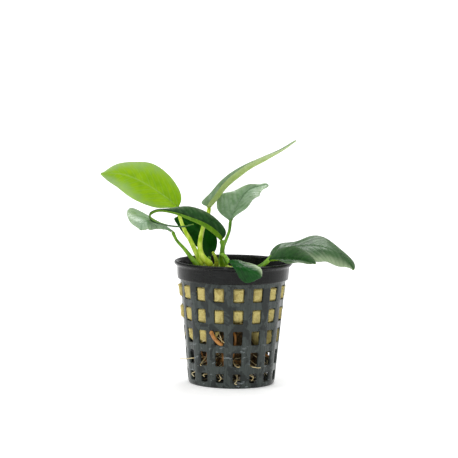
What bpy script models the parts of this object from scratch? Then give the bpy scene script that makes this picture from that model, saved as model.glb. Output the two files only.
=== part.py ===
"""Young anubias growing in a black net pot with rock wool.

Frame: metres, +Z up, origin at the middle of the pot's foot, -Y towards the front of the plant.
The pot is one moulding, the rock wool one plug, and the rhizome lies across it. Every leaf is a
petiole and a blade, and the roots run down a slit in the wool and fan out below it.
"""

import math
from dataclasses import dataclass

import bmesh
import bpy
from mathutils import Matrix, Vector

MM = 0.001
GAP = 0.4  # clearance between touching pieces, in mm as all the sizes below

# Net pot
POT_HEIGHT = 52.0
RIM_RADIUS = 25.0
LIP_RADIUS = 0.85
BAND_HEIGHT = 7.5
BAND_TOP_RADIUS = 23.95
BAND_FOOT_RADIUS = 23.5
WALL_TOP_RADIUS = 22.4
WALL_FOOT_RADIUS = 18.3
WALL = 1.0
FLOOR_HEIGHT = 1.5
POT_SIDES = 32
COLUMNS = 16
COLUMN_TURN = 6.8  # degrees from the front to the nearest window column, towards +X
POST_WIDTH = 4.05
ROW_TOPS = (42.5, 33.4, 24.3, 15.2, 6.1)
WINDOW_HEIGHT = 5.8
LAST_WINDOW_HEIGHT = 3.7
FLOOR_SLOTS = 8
FLOOR_SLOT = (8.0, 3.0)  # length and width

# Rock wool
WOOL_TOP = 45.0
WOOL_FOOT = 16.5
WOOL_SLOPE = 2.5  # the underside is this much higher at the left and lower at the right
WOOL_ARCH = 12.0  # how much higher the underside is at the front
WOOL_ARCH_ANGLE = 8.0
WOOL_ARCH_SPREAD = 28.0
WOOL_SIDES = 32
SLIT_CENTRE = (-6.0, -6.0)
SLIT_RADIUS = 4.4
SLIT_RING = 2.9
WOOL_MIDDLE_RAISE = 3.0
WOOL_HOLLOW = 30.0  # where the slit opens out under the plug
SLIT_HEIGHTS = (44.8, 36.0, 27.0)

# Rhizome: its centre line and thickness along it, and the stub of a cut petiole
RHIZOME_LINE = ((-17.4, -7.8, 48.6), (-12, -8.4, 48.6), (-6, -8, 48.5), (0, -8.6, 48.1), (4.5, -9.4, 47.8))
RHIZOME_RADII = (1.6, 2.7, 2.8, 2.3, 1.9)
STUB_LINE = ((-7.2, -11.6, 50.5), (-7, -13.2, 52.5), (-7.5, -13.8, 55), (-8.8, -13.6, 57.2))
STUB_RADII = (0.95, 0.9, 0.7, 0.5)

BLADE_THICKNESS = 0.6
BLADE_GRID = (18, 4)  # faces along and across a blade
MIN_HALF_WIDTH = 0.4
LOBE_END = 0.22  # how far along the blade its base lobes reach
PETIOLE_POINTS = 9
ROOT_POINTS = 16
ROOT_TAPER = 0.6
STEM_ROUNDING = 1
SPLINE_STEPS = 12
FINE_STEPS = 12  # points of a midrib for each row of its blade
STUB_POINTS = 5
FLOOR_SLOT_START = 6.0  # from the pot's axis


@dataclass
class Leaf:
    """One leaf. The blade hangs on its midrib: left and right say where each half reaches from it.

    midrib runs from the blade's base to its tip. left and right are directions at the base, the
    middle and the tip, seen from the base with the upper face up. left_widths and right_widths are
    how wide each half is at seven places, closer together by the ends. lobe sweeps the base backwards.
    """

    name: str
    colour: str
    petiole: tuple
    petiole_radii: tuple
    midrib: tuple
    left: tuple
    right: tuple
    left_widths: tuple
    right_widths: tuple
    lobe: float = 0.0
    camber: float = 0.06
    wave: tuple = (0.0, 1.0, 0.0)  # height, number along the blade, start in turns


@dataclass
class Root:
    """One thick root, its route below the wool as angle from the front, distance from the axis and height."""

    radius: float
    route: tuple


LEAVES = (
    Leaf(
        name="leaf_lime",
        colour="leaf_young",
        petiole=(
            (-13.4, -7.4, 52), (-14.5, -6.5, 53.8), (-16.2, -5.2, 56.8), (-18.4, -3.6, 61),
            (-20.9, -2, 65.2), (-22.7, 0.4, 69.5), (-23.7, 1.7, 72.7),
        ),
        petiole_radii=(1.2, 0.75),
        midrib=(
            (-23.9, 2, 73.8), (-28.3, 2.2, 77.8), (-33.8, 2, 81.6), (-41, 1.4, 85.6),
            (-48, 0.4, 88), (-56.2, -2, 88.2),
        ),
        left=((-0.2, -0.85, -0.4), (-0.5, -0.35, -0.8), (-0.2, -0.3, -0.9)),
        right=((0.95, 0.2, 0.1), (0.5, 0.2, 0.85), (0.2, 0.1, 0.95)),
        left_widths=(2.5, 5.9, 7.8, 8.4, 7.0, 4.9, 2.1),
        right_widths=(3.8, 6.6, 8.8, 9.0, 6.1, 3.3, 0.9),
        wave=(0.4, 2.0, 0.1),
    ),
    Leaf(
        name="leaf_left_low",
        colour="leaf_mature",
        petiole=(
            (-15.6, -9.5, 51.6), (-17.7, -8.8, 54), (-20.6, -7.8, 57.5), (-23.8, -6.5, 60.8),
            (-25.3, -5.9, 63.6),
        ),
        petiole_radii=(1.1, 0.65),
        midrib=(
            (-25.8, -6.4, 64.8), (-29.6, -10, 67), (-33.3, -14.6, 69), (-36, -18.6, 69.8),
            (-37.8, -21.8, 69), (-38.5, -24, 66.9),
        ),
        left=((0.3, -0.7, -0.6), (0.45, -0.6, -0.7), (0.5, -0.4, -0.6)),
        right=((-0.2, 0.8, 0.5), (-0.75, 0.5, 0.5), (-0.9, 0.1, 0.3)),
        left_widths=(0.3, 0.8, 2.2, 3.6, 4.2, 3.9, 2.4),
        right_widths=(0.8, 2.5, 6.8, 13.0, 11.0, 7.0, 1.6),
        wave=(0.3, 1.5, 0.3),
    ),
    Leaf(
        name="leaf_tall",
        colour="leaf_mature",
        petiole=(
            (-10.4, -10.3, 52.1), (-11.9, -9.9, 53.4), (-13.3, -9, 55.3), (-14.1, -7.4, 58.4),
            (-13.8, -5.4, 62.4), (-12.7, -1.6, 66.8), (-11, 4.4, 71), (-10.7, 6.4, 72.5),
        ),
        petiole_radii=(1.2, 0.8),
        midrib=(
            (-10.5, 8, 74.1), (-7.3, 8, 77.8), (-2.5, 8, 83.6), (4.4, 8, 89.5), (12.8, 8, 94.3),
            (20, 8, 98.3), (25.8, 8, 102.8),
        ),
        left=((-1, 0.3, -0.3), (-0.5, 0.7, 0.35), (-0.2, 0.95, 0.1)),
        right=((-0.3, -0.9, 0.1), (-0.35, -0.85, 0.25), (-0.2, -0.95, 0.15)),
        left_widths=(4.3, 4.4, 4.8, 3.6, 3.3, 2.4, 1.1),
        right_widths=(3.5, 4.9, 6.4, 5.8, 5.2, 3.6, 1.6),
        lobe=0.7,
        wave=(0.2, 2.0, 0.0),
    ),
    Leaf(
        name="leaf_right_up",
        colour="leaf_mature",
        petiole=(
            (-5.4, -5.1, 51.5), (-4.7, -2.7, 57), (-3.2, 1.4, 60.6), (-1.9, 4.4, 64),
            (-1.5, 6.2, 67.4),
        ),
        petiole_radii=(1.0, 0.65),
        midrib=(
            (-1.4, 7, 68.4), (0.5, 10, 72.6), (3.3, 14, 77.2), (6.4, 17, 80.6), (10.2, 19, 82),
            (14.6, 20.4, 82.8),
        ),
        left=((-0.85, 0.1, 0.4), (-0.75, 0.15, 0.65), (-0.3, 0.2, 0.9)),
        right=((0.45, -0.8, -0.1), (0.4, -0.85, -0.3), (0.35, -0.8, -0.4)),
        left_widths=(4.3, 7.8, 8.8, 4.7, 2.4, 1.1, 1.0),
        right_widths=(1.7, 3.9, 6.4, 7.0, 6.2, 3.8, 1.5),
        wave=(0.5, 2.5, 0.2),
    ),
    Leaf(
        name="leaf_arching",
        colour="leaf_mature",
        petiole=(
            (-3.6, -7.7, 51.9), (-4.4, -8.4, 54.4), (-4.7, -8.8, 57), (-4.5, -8.5, 59),
            (-4.8, -8.0, 60.6),
        ),
        petiole_radii=(1.2, 1.0),
        midrib=(
            (-5.1, -8, 61.6), (-8.6, -9.2, 64.8), (-12.1, -10.5, 67.4), (-17.5, -12, 70.1),
            (-24.4, -13.4, 72.8), (-31, -14.4, 74), (-34.6, -15.4, 72.9), (-35.1, -17, 70.9),
            (-33.2, -18.8, 69.4), (-28.6, -20.2, 68.2), (-22, -21, 68), (-16.6, -21.2, 69.1),
        ),
        left=((0.5, -0.7, 0.5), (0.1, -0.72, 0.7), (0.1, -0.9, 0.4)),
        right=((0.6, 0.6, 0.55), (0.35, 0.6, 0.6), (0, 0.9, -0.3)),
        left_widths=(1.8, 2.3, 1.4, 0.6, 1.2, 1.1, 0.6),
        right_widths=(3.9, 5.9, 5.9, 1.3, 1.8, 1.5, 0.6),
        lobe=0.3,
    ),
    Leaf(
        name="leaf_behind",
        colour="leaf_mature",
        petiole=((-10.6, -5.2, 50.6), (-10.6, -0.6, 49.6), (-10.4, 3.4, 50.8), (-10.4, 4.6, 52)),
        petiole_radii=(1.1, 0.9),
        midrib=(
            (-10.5, 5.4, 52.8), (-11.5, 7.8, 55.9), (-12.8, 9.2, 59.2), (-14.8, 10.4, 62.4),
            (-18, 11.4, 65.3), (-21.4, 12.2, 67.2), (-25.4, 13, 68.2),
        ),
        left=((-0.8, -0.1, 0.2), (-0.6, -0.1, -0.75), (-0.4, 0, -0.8)),
        right=((0.9, -0.1, 0.2), (0.6, -0.1, 0.75), (0.4, 0, 0.8)),
        left_widths=(1.0, 2.5, 4.1, 5.5, 4.9, 3.5, 1.5),
        right_widths=(2.5, 4.5, 6.0, 6.0, 4.5, 3.0, 1.2),
        wave=(0.4, 2.0, 0.4),
    ),
    Leaf(
        name="leaf_front",
        colour="leaf_mature",
        petiole=(
            (-4.6, -10.6, 52), (-5.1, -11.6, 54.4), (-4.9, -12.9, 56), (-3.9, -15.6, 56.4),
            (-2.9, -19, 55.7), (-2.2, -22.7, 54.6),
        ),
        petiole_radii=(1.25, 1.0),
        midrib=(
            (-1.8, -23.8, 54.3), (0.5, -26.8, 54), (2.4, -28.8, 53.4), (4.6, -30.2, 52.6),
            (7, -31.2, 51.5), (9.6, -31.2, 50.1), (11.6, -30, 48.7),
        ),
        left=((0.3, 0.5, 0.7), (0.4, 0.75, 0.35), (0.6, 0.4, 0.3)),
        right=((-0.1, -0.7, -0.8), (-0.2, -0.1, -1), (-0.2, 0.4, -0.8)),
        left_widths=(0.8, 1.8, 3.3, 4.7, 5.0, 4.0, 2.5),
        right_widths=(0.6, 1.3, 2.5, 5.0, 5.7, 4.5, 2.3),
        camber=0.1,
        wave=(0.3, 1.5, 0.0),
    ),
    Leaf(
        name="leaf_right_long",
        colour="leaf_mature",
        petiole=((5.6, -9.4, 49.6), (10.2, -13.6, 50.9), (13.4, -13.6, 52.9), (15.4, -11.2, 54.7)),
        petiole_radii=(1.2, 0.9),
        midrib=(
            (16.2, -10.2, 55.4), (19.5, -8.2, 57.6), (23.8, -6.4, 58.6), (28.8, -5, 59.2),
            (34.3, -4.2, 59.1), (39.8, -4, 58), (44.9, -4.5, 55.6), (48.3, -5.2, 52.8),
            (50.6, -6, 49.6),
        ),
        left=((-0.3, 0.85, 0.2), (-0.1, 0.85, 0.5), (0.5, 0.7, 0.2)),
        right=((-0.1, -0.9, 0.2), (-0.25, -0.8, -0.5), (-0.3, -0.6, -0.5)),
        left_widths=(2.8, 3.5, 3.8, 8.3, 5.9, 4.1, 2.2),
        right_widths=(1.0, 1.8, 3.1, 8.0, 7.4, 5.3, 1.5),
        wave=(0.6, 2.5, 0.55),
    ),
    Leaf(
        name="leaf_right_under",
        colour="leaf_mature",
        petiole=((6.4, -13.4, 48.6), (9.4, -17, 49.8), (12.4, -17.4, 52), (14.2, -17, 53.6)),
        petiole_radii=(0.95, 0.75),
        midrib=(
            (14.9, -16.6, 54.3), (19.4, -15.6, 54.6), (24.5, -14, 54.4), (29.5, -12.6, 53.8),
            (34.4, -11.6, 52.6),
        ),
        left=((-0.3, 0.6, 0.6), (-0.2, 0.4, 0.85), (0, 0.7, 0.6)),
        right=((0, -0.85, 0.1), (-0.2, -0.85, -0.4), (-0.3, -0.7, -0.3)),
        left_widths=(1.5, 3.8, 5.2, 5.4, 4.4, 3.0, 1.2),
        right_widths=(1.2, 2.2, 2.8, 2.4, 1.8, 1.1, 0.3),
        wave=(0.4, 2.0, 0.0),
    ),
)

ROOTS = (
    Root(0.75, ((-22, 9, 17), (-15, 14.6, 14.2), (-12, 15.6, 11), (-16, 13, 5.5))),
    Root(0.6, ((-8, 11.5, 24), (3, 15.5, 23), (4.5, 16.2, 19), (2, 15.8, 14), (-5, 14, 8))),
    Root(
        0.6,
        (
            (30, 6, 18), (60, 12, 14.4), (70, 14.6, 12.8), (75, 16.6, 11.6), (76, 17.4, 9.8),
            (75, 17.2, 7.2), (74, 16.6, 4.6),
        ),
    ),
    Root(0.6, ((150, 6, 20), (170, 12.5, 14), (190, 13.6, 8), (200, 10, 4))),
    Root(0.6, ((-65, 12, 22), (-63, 15.4, 19), (-60, 15.4, 15.5), (-55, 14, 11), (-45, 12, 7))),
    Root(0.75, ((-40, 11, 18.5), (-42, 15, 13.6), (-34, 15.8, 11.5), (-27, 13, 7.5))),
    Root(
        0.9,
        (
            (-25, 10, 23), (-15, 14, 20.8), (-13, 17.5, 20.4), (-14, 20.4, 20.6), (-19, 21.9, 22.4),
            (-26, 21.7, 24.4),
        ),
    ),
)

LOOKS = {
    "pot_plastic": ((0.03, 0.034, 0.036), 0.35),
    "rock_wool": ((0.5, 0.4, 0.16), 0.95),
    "leaf_young": ((0.24, 0.46, 0.02), 0.35),
    "leaf_mature": ((0.05, 0.17, 0.03), 0.3),
    "stem": ((0.35, 0.5, 0.08), 0.4),
    "root": ((0.4, 0.2, 0.06), 0.6),
}


def clear_scene():
    for obj in list(bpy.data.objects):
        bpy.data.objects.remove(obj)


def make_material(name, colour, roughness):
    material = bpy.data.materials.new(name)
    material.use_nodes = True
    shader = material.node_tree.nodes["Principled BSDF"]
    shader.inputs["Base Color"].default_value = (*colour, 1.0)
    shader.inputs["Roughness"].default_value = roughness
    shader.inputs["Metallic"].default_value = 0.0
    return material


def smooth_line(points, count):
    """Evenly spaced points, count + 1 of them, on the smooth curve through the given points."""
    knots = [Vector(point) for point in points]
    knots = [2 * knots[0] - knots[1], *knots, 2 * knots[-1] - knots[-2]]
    dense = []
    for a, b, c, d in zip(knots, knots[1:], knots[2:], knots[3:]):
        for step in range(SPLINE_STEPS):
            t = step / SPLINE_STEPS
            bend = (2 * a - 5 * b + 4 * c - d) * t**2 + (3 * b - a - 3 * c + d) * t**3
            dense.append(b + 0.5 * ((c - a) * t + bend))
    dense.append(knots[-2])
    lengths = [0.0]
    for start, end in zip(dense, dense[1:]):
        lengths.append(lengths[-1] + (end - start).length)
    line = []
    piece = 0
    for step in range(count + 1):
        target = lengths[-1] * step / count
        while piece < len(dense) - 2 and lengths[piece + 1] < target:
            piece += 1
        share = (target - lengths[piece]) / (lengths[piece + 1] - lengths[piece])
        line.append(dense[piece].lerp(dense[piece + 1], share))
    return line


def taper(radii, count):
    """count + 1 thicknesses that run evenly through the given ones."""
    sizes = []
    for step in range(count + 1):
        place = step / count * (len(radii) - 1)
        before = min(int(place), len(radii) - 2)
        sizes.append(radii[before] + (radii[before + 1] - radii[before]) * (place - before))
    return sizes


def between(stages, s):
    """The smooth blend of three directions along the blade: base, middle and tip."""
    base, middle, tip = (Vector(stage).normalized() for stage in stages)
    return base * (1 - s) * (1 - 2 * s) + middle * 4 * s * (1 - s) + tip * s * (2 * s - 1)


def half_width(widths, s):
    """The smooth margin through the widths, which closes roundly at s = 0, the base, and 1, the tip."""
    knots = (-widths[0], 0.0, *widths, 0.0, -widths[-1])
    place = math.acos(1 - 2 * s) / math.pi * (len(widths) + 1)
    first = min(int(place), len(widths))
    t = place - first
    a, b, c, d = knots[first : first + 4]
    bend = (2 * a - 5 * b + 4 * c - d) * t**2 + (3 * b - a - 3 * c + d) * t**3
    return max(b + 0.5 * ((c - a) * t + bend), MIN_HALF_WIDTH)


def blade_point(leaf, spine, tangent, s, across):
    """A point of the blade's middle surface. across is -1 on the left margin and 1 on the right."""
    is_left = across < 0
    side = between(leaf.left if is_left else leaf.right, s)
    side = (side - side.dot(tangent) * tangent).normalized()
    up = tangent.cross(side) if is_left else side.cross(tangent)
    reach = abs(across)
    width = half_width(leaf.left_widths if is_left else leaf.right_widths, s)
    swept = side - tangent * leaf.lobe * max(0.0, 1 - s / LOBE_END) ** 2
    height, number, start = leaf.wave
    ripple = height * math.sin(math.tau * (number * s + start + (0.25 if is_left else 0.0)))
    return spine + swept * width * reach + up * (ripple - leaf.camber * width) * reach**2


def blade_rows(leaf, along, across):
    """The blade as rows of points, each from the left margin to the right, between its two ends."""
    spine = smooth_line(leaf.midrib, along * FINE_STEPS)
    rows = []
    for i in range(1, along):
        s = (1 - math.cos(math.pi * i / along)) / 2
        place = min(max(round(s * along * FINE_STEPS), 1), along * FINE_STEPS - 1)
        tangent = (spine[place + 1] - spine[place - 1]).normalized()
        steps = [2 * j / across - 1 for j in range(across + 1)]
        rows.append([blade_point(leaf, spine[place], tangent, s, step) for step in steps])
    return spine[0], rows, spine[-1]


def skin(bm, rows):
    """Quads between neighbouring rows of vertices."""
    for low, high in zip(rows, rows[1:]):
        for a, b, c, d in zip(low, low[1:], high[1:], high):
            bm.faces.new((a, b, c, d))


def finish(bm, name, material, collection):
    """The bmesh, drawn in mm, as a named object in metres with its faces pointing out."""
    bmesh.ops.scale(bm, vec=(MM, MM, MM), verts=bm.verts)
    bmesh.ops.recalc_face_normals(bm, faces=bm.faces)
    mesh = bpy.data.meshes.new(name)
    bm.to_mesh(mesh)
    bm.free()
    mesh.materials.append(material)
    obj = bpy.data.objects.new(name, mesh)
    collection.objects.link(obj)
    return obj


def add_blade(leaf, material, collection):
    base, rows, tip = blade_rows(leaf, *BLADE_GRID)
    bm = bmesh.new()
    rings = [[bm.verts.new(point) for point in row] for row in rows]
    skin(bm, rings)
    for end, ring in ((base, rings[0]), (tip, rings[-1])):
        corner = bm.verts.new(end)
        for a, b in zip(ring, ring[1:]):
            bm.faces.new((a, b, corner))
    blade = finish(bm, f"{leaf.name}_blade", material, collection)
    shell = blade.modifiers.new("thickness", "SOLIDIFY")
    shell.thickness = BLADE_THICKNESS * MM
    shell.offset = 0.0
    return blade


def add_stem(name, points, radii, count, material, collection):
    """A tapering stem or root along the smooth curve through the points, as one closed mesh."""
    line = smooth_line(points, count)
    curve = bpy.data.curves.new(name, "CURVE")
    curve.dimensions = "3D"
    curve.bevel_depth = MM
    curve.bevel_resolution = STEM_ROUNDING
    curve.use_fill_caps = True
    spline = curve.splines.new("POLY")
    spline.points.add(count)
    for point, place, radius in zip(spline.points, line, taper(radii, count)):
        point.co = (*(place * MM), 1.0)
        point.radius = radius
    obj = bpy.data.objects.new(name, curve)
    collection.objects.link(obj)
    curve.materials.append(material)
    return obj


def pot_profile():
    """The pot's section, down the outside from the lip and back up the inside."""
    lip_middle = (RIM_RADIUS - LIP_RADIUS, POT_HEIGHT - LIP_RADIUS)
    lip = [
        (lip_middle[0] + LIP_RADIUS * math.cos(turn), lip_middle[1] + LIP_RADIUS * math.sin(turn))
        for turn in (math.radians(angle) for angle in (90, 45, 0, -45, -90))
    ]
    band_foot = POT_HEIGHT - BAND_HEIGHT
    outside = [
        (BAND_TOP_RADIUS, POT_HEIGHT - 2 * LIP_RADIUS - 0.2),
        (BAND_FOOT_RADIUS, band_foot + 0.4),
        (BAND_FOOT_RADIUS - 0.3, band_foot),
        (WALL_TOP_RADIUS, band_foot - 0.1),
        (WALL_FOOT_RADIUS + 0.1, 1.3),
        (WALL_FOOT_RADIUS - 0.4, 0.4),
        (WALL_FOOT_RADIUS - 1.1, 0.0),
        (0.0, 0.0),
    ]
    inside = [
        (0.0, FLOOR_HEIGHT),
        (WALL_FOOT_RADIUS - WALL - 0.3, FLOOR_HEIGHT),
        (WALL_FOOT_RADIUS - WALL + 0.1, FLOOR_HEIGHT + 0.4),
        (WALL_TOP_RADIUS - WALL, band_foot - 0.3),
        (BAND_FOOT_RADIUS - WALL, band_foot + WALL),
        (BAND_TOP_RADIUS - WALL, POT_HEIGHT - 1.6),
        (BAND_TOP_RADIUS - WALL + 0.6, POT_HEIGHT - 0.4),
    ]
    return lip + outside + inside


def wall_radius(height):
    """The wall's outer radius, from the foot to the band."""
    return WALL_FOOT_RADIUS + (WALL_TOP_RADIUS - WALL_FOOT_RADIUS) * height / (POT_HEIGHT - BAND_HEIGHT)


def add_box(bm, centre, size, angle):
    """A box in the bmesh, moved out along +X by centre and then turned about the pot's axis."""
    place = Matrix.Rotation(angle, 4, "Z") @ Matrix.Translation(centre) @ Matrix.Diagonal((*size, 1.0))
    bmesh.ops.create_cube(bm, size=1.0, matrix=place)


def add_openings_cutter(collection, material):
    bm = bmesh.new()
    for row, top in enumerate(ROW_TOPS):
        height = LAST_WINDOW_HEIGHT if row == len(ROW_TOPS) - 1 else WINDOW_HEIGHT
        middle = top - height / 2
        radius = wall_radius(middle)
        width = math.tau * radius / COLUMNS - POST_WIDTH
        for column in range(COLUMNS):
            turn = math.tau * column / COLUMNS
            add_box(bm, (radius - WALL / 2, 0, middle), (4 * WALL, width, height), turn)
    for slot in range(FLOOR_SLOTS):
        middle = FLOOR_SLOT_START + FLOOR_SLOT[0] / 2
        size = (*FLOOR_SLOT, 4 * FLOOR_HEIGHT)
        add_box(bm, (middle, 0, FLOOR_HEIGHT / 2), size, math.tau * (slot + 0.5) / FLOOR_SLOTS)
    cutter = finish(bm, "openings_cutter", material, collection)
    cutter.hide_render = True
    cutter.display_type = "WIRE"
    return cutter


def add_pot(material, collection, cutters):
    profile = pot_profile()
    bm = bmesh.new()
    verts = [bm.verts.new((radius, 0, height)) for radius, height in profile]
    for start, end in zip(verts, verts[1:]):
        bm.edges.new((start, end))
    bm.edges.new((verts[-1], verts[0]))
    pot = finish(bm, "net_pot", material, collection)
    turned = pot.modifiers.new("turned", "SCREW")
    turned.steps = POT_SIDES
    turned.render_steps = POT_SIDES
    turned.use_merge_vertices = True
    turned.merge_threshold = 0.00001
    cutter = add_openings_cutter(cutters, material)
    openings = pot.modifiers.new("openings", "BOOLEAN")
    openings.object = cutter
    openings.operation = "DIFFERENCE"
    openings.solver = "EXACT"
    for obj in (pot, cutter):
        obj.rotation_euler.z = math.radians(COLUMN_TURN - 90)
    return pot


def around(angle, radius, height):
    """A place by its angle from the front towards +X, its distance from the axis and its height."""
    turn = math.radians(angle)
    return Vector((radius * math.sin(turn), -radius * math.cos(turn), height))


def wool_foot(angle):
    """The height of the plug's ragged underside at an angle from the front."""
    turn = math.radians(angle)
    slope = WOOL_FOOT - WOOL_SLOPE * math.sin(turn)
    off = (angle - WOOL_ARCH_ANGLE + 180) % 360 - 180
    return slope + WOOL_ARCH * math.exp(-((off / WOOL_ARCH_SPREAD) ** 4))


def add_wool(material, collection):
    """The plug, as a loft of rings down its outside and back up the slit that holds the roots."""
    bm = bmesh.new()
    centre = Vector((*SLIT_CENTRE, 0.0))
    middle = (WOOL_TOP + WOOL_FOOT) / 2 + WOOL_MIDDLE_RAISE
    columns = []
    for side in range(WOOL_SIDES):
        angle = 360 * side / WOOL_SIDES
        foot = wool_foot(angle)
        slit = centre + around(angle, SLIT_RADIUS, 0)
        points = [
            slit + Vector((0, 0, WOOL_TOP)),
            around(angle, wall_radius(WOOL_TOP - 1) - WALL - GAP, WOOL_TOP),
            around(angle, wall_radius(middle) - WALL - GAP, middle),
            around(angle, wall_radius(foot) - WALL - GAP, foot),
            slit + Vector((0, 0, WOOL_HOLLOW)),
        ]
        columns.append([bm.verts.new(point) for point in points])
    columns.append(columns[0])
    skin(bm, [[*column, column[0]] for column in columns])
    return finish(bm, "rock_wool", material, collection)


def slit_place(number):
    """Where a root runs down the slit: one in the middle and the others in a ring around it."""
    centre = Vector((*SLIT_CENTRE, 0.0))
    if number == 0:
        return centre
    return centre + around(360 * number / (len(ROOTS) - 1), SLIT_RING, 0)


def add_root(number, root, material, collection):
    down = [slit_place(number) + Vector((0, 0, height)) for height in SLIT_HEIGHTS]
    route = down + [around(*place) for place in root.route]
    radii = (root.radius, root.radius, root.radius, root.radius * ROOT_TAPER)
    return add_stem(f"root_{number + 1}", route, radii, ROOT_POINTS, material, collection)


def main():
    clear_scene()
    parts = bpy.data.collections.new("potted_anubias")
    cutters = bpy.data.collections.new("cutters")
    for collection in (parts, cutters):
        bpy.context.scene.collection.children.link(collection)
    materials = {name: make_material(name, *look) for name, look in LOOKS.items()}

    add_pot(materials["pot_plastic"], parts, cutters)
    add_wool(materials["rock_wool"], parts)
    add_stem("rhizome", RHIZOME_LINE, RHIZOME_RADII, PETIOLE_POINTS, materials["stem"], parts)
    add_stem("cut_stub", STUB_LINE, STUB_RADII, STUB_POINTS, materials["stem"], parts)
    for leaf in LEAVES:
        add_blade(leaf, materials[leaf.colour], parts)
        stem = materials["stem"]
        add_stem(f"{leaf.name}_petiole", leaf.petiole, leaf.petiole_radii, PETIOLE_POINTS, stem, parts)
    for number, root in enumerate(ROOTS):
        add_root(number, root, materials["root"], parts)


main()
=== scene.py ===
"""Looks of the young anubias in its net pot.

Sizes are in mm unless a name says otherwise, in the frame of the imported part: +Z up, origin at the
middle of the pot's foot, -Y towards the front. Every piece is drawn in mm and scaled once.
"""

import math
import random
from dataclasses import dataclass

import bmesh
import bpy
import numpy as np
from mathutils import Matrix, Vector


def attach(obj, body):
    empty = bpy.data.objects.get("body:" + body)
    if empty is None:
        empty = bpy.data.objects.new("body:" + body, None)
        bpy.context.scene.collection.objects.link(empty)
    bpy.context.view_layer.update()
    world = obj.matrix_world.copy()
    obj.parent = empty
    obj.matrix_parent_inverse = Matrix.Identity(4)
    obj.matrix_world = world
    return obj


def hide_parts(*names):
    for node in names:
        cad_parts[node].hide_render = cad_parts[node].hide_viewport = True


MM = 0.001

# One seed for all random draws, and where each kind of bumps starts
SEED = 11
WOOL_SEED = SEED + 5
VEIN_SEED = SEED + 30
ROOT_LINE_SEED = SEED + 40
ROOT_SIZE_SEED = SEED + 70
MAT_SEED = SEED + 90
HAIR_SEED = SEED + 200

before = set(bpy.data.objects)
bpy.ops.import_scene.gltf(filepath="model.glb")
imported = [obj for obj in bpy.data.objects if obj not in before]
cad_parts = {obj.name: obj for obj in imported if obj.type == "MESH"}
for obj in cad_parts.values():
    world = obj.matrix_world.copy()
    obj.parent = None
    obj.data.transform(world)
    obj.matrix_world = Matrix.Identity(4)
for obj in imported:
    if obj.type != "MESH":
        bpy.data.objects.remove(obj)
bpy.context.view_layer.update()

# Net pot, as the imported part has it
POT_HEIGHT = 52.0
RIM_RADIUS = 25.0
LIP_RADIUS = 0.85
BAND_HEIGHT = 7.5
BAND_FOOT = POT_HEIGHT - BAND_HEIGHT
BAND_TOP_RADIUS = 23.95
BAND_FOOT_RADIUS = 23.5
WALL_TOP_RADIUS = 22.4
WALL_FOOT_RADIUS = 18.3
WALL = 1.0
FLOOR_HEIGHT = 1.5
COLUMNS = 16
COLUMN_TURN = 6.8
POST_WIDTH = 4.05
ROW_TOPS = (42.5, 33.4, 24.3, 15.2, 6.1)
WINDOW_HEIGHTS = (5.8, 5.8, 5.8, 5.8, 3.7)
CELL_EDGES = (44.3, 35.05, 25.95, 16.85, 7.75, 1.6)
WINDOW_CORNER = 0.45
EDGE_ROUNDING = 0.22
POST_RELIEF = 0.22
SIDE_STEPS = (-1.0, -0.94, -0.84, -0.5, 0.0, 0.5, 0.84, 0.94)
FLOOR_SLOTS = 8
FLOOR_SLOT_START = 6.0
FLOOR_SLOT = (8.0, 3.0)
FLOOR_SLOT_CORNER = 0.9
FLOOR_HUB = 4.6
FLOOR_UNDERSIDE = 0.3

# Rock wool
WOOL_TOP = 45.0
WOOL_FOOT = 16.5
WOOL_SLOPE = 2.5
WOOL_GAP = 0.35  # between the plug and the inside of the wall
WOOL_ARCH = 12.0
WOOL_ARCH_ANGLE = 8.0
WOOL_ARCH_SPREAD = 28.0
SLIT_CENTRE = (-6.0, -6.0)
SLIT_RADIUS = 4.4
SLIT_RING = 2.9
WOOL_HOLLOW = 30.0
SLIT_HEIGHTS = (44.8, 36.0, 27.0)

# The core of the root ball under the plug
MAT_HEIGHTS = (2.6, 27.0)
MAT_GRID = (60, 120)  # points up it and round it
MAT_RADIUS = 14.4

# Leaf blades
BLADE_GRID = (110, 45)  # points along and across
BLADE_THICKNESS = 0.5
MIDRIB_STEPS = 400
LOBE_END = 0.22  # how far along the blade its base lobes reach
VEIN_SPACING = 3.6
VEIN_SLANT = 1.15
VEIN_CURVE = 0.05
VEIN_WIDTH = 0.32
VEIN_DEPTHS = (0.05, 0.03)  # on the upper and the lower face
MIDRIB_DEPTHS = (0.34, 0.42)
SWELL = 0.16
QUILT = 0.04

# Meshes with many small pieces
ROOT_RADIUS = 0.33
HAIR_ROOTS = 150
HAIR_SPREAD = 15.6  # as far from the axis as they grow
FIBRES = 1500
FIBRE_RADIUS = 0.035
WOOL_GRID = (480, 130)  # points round the plug and down its side
WOOL_BULGE = 0.95  # how far the wool swells into a window
WOOL_SIDE_BULGES = ((268, 24, 1.3), (86, 14, 0.7))  # angle, spread and how much more, upper rows only


@dataclass
class Leaf:
    """One leaf. The blade hangs on its midrib: left and right say where each half reaches from it.

    The directions are at the base, the middle and the tip. The widths are those of each half at seven
    places from the base to the tip, closer together by the ends. A lobe sweeps the base backwards.
    """

    name: str
    look: str
    stalk_look: str
    petiole: tuple
    petiole_radii: tuple
    midrib: tuple
    left: tuple
    right: tuple
    left_widths: tuple
    right_widths: tuple
    lobe: float = 0.0
    camber: float = 0.06
    wave: tuple = (0.0, 1.0, 0.0)


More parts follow.
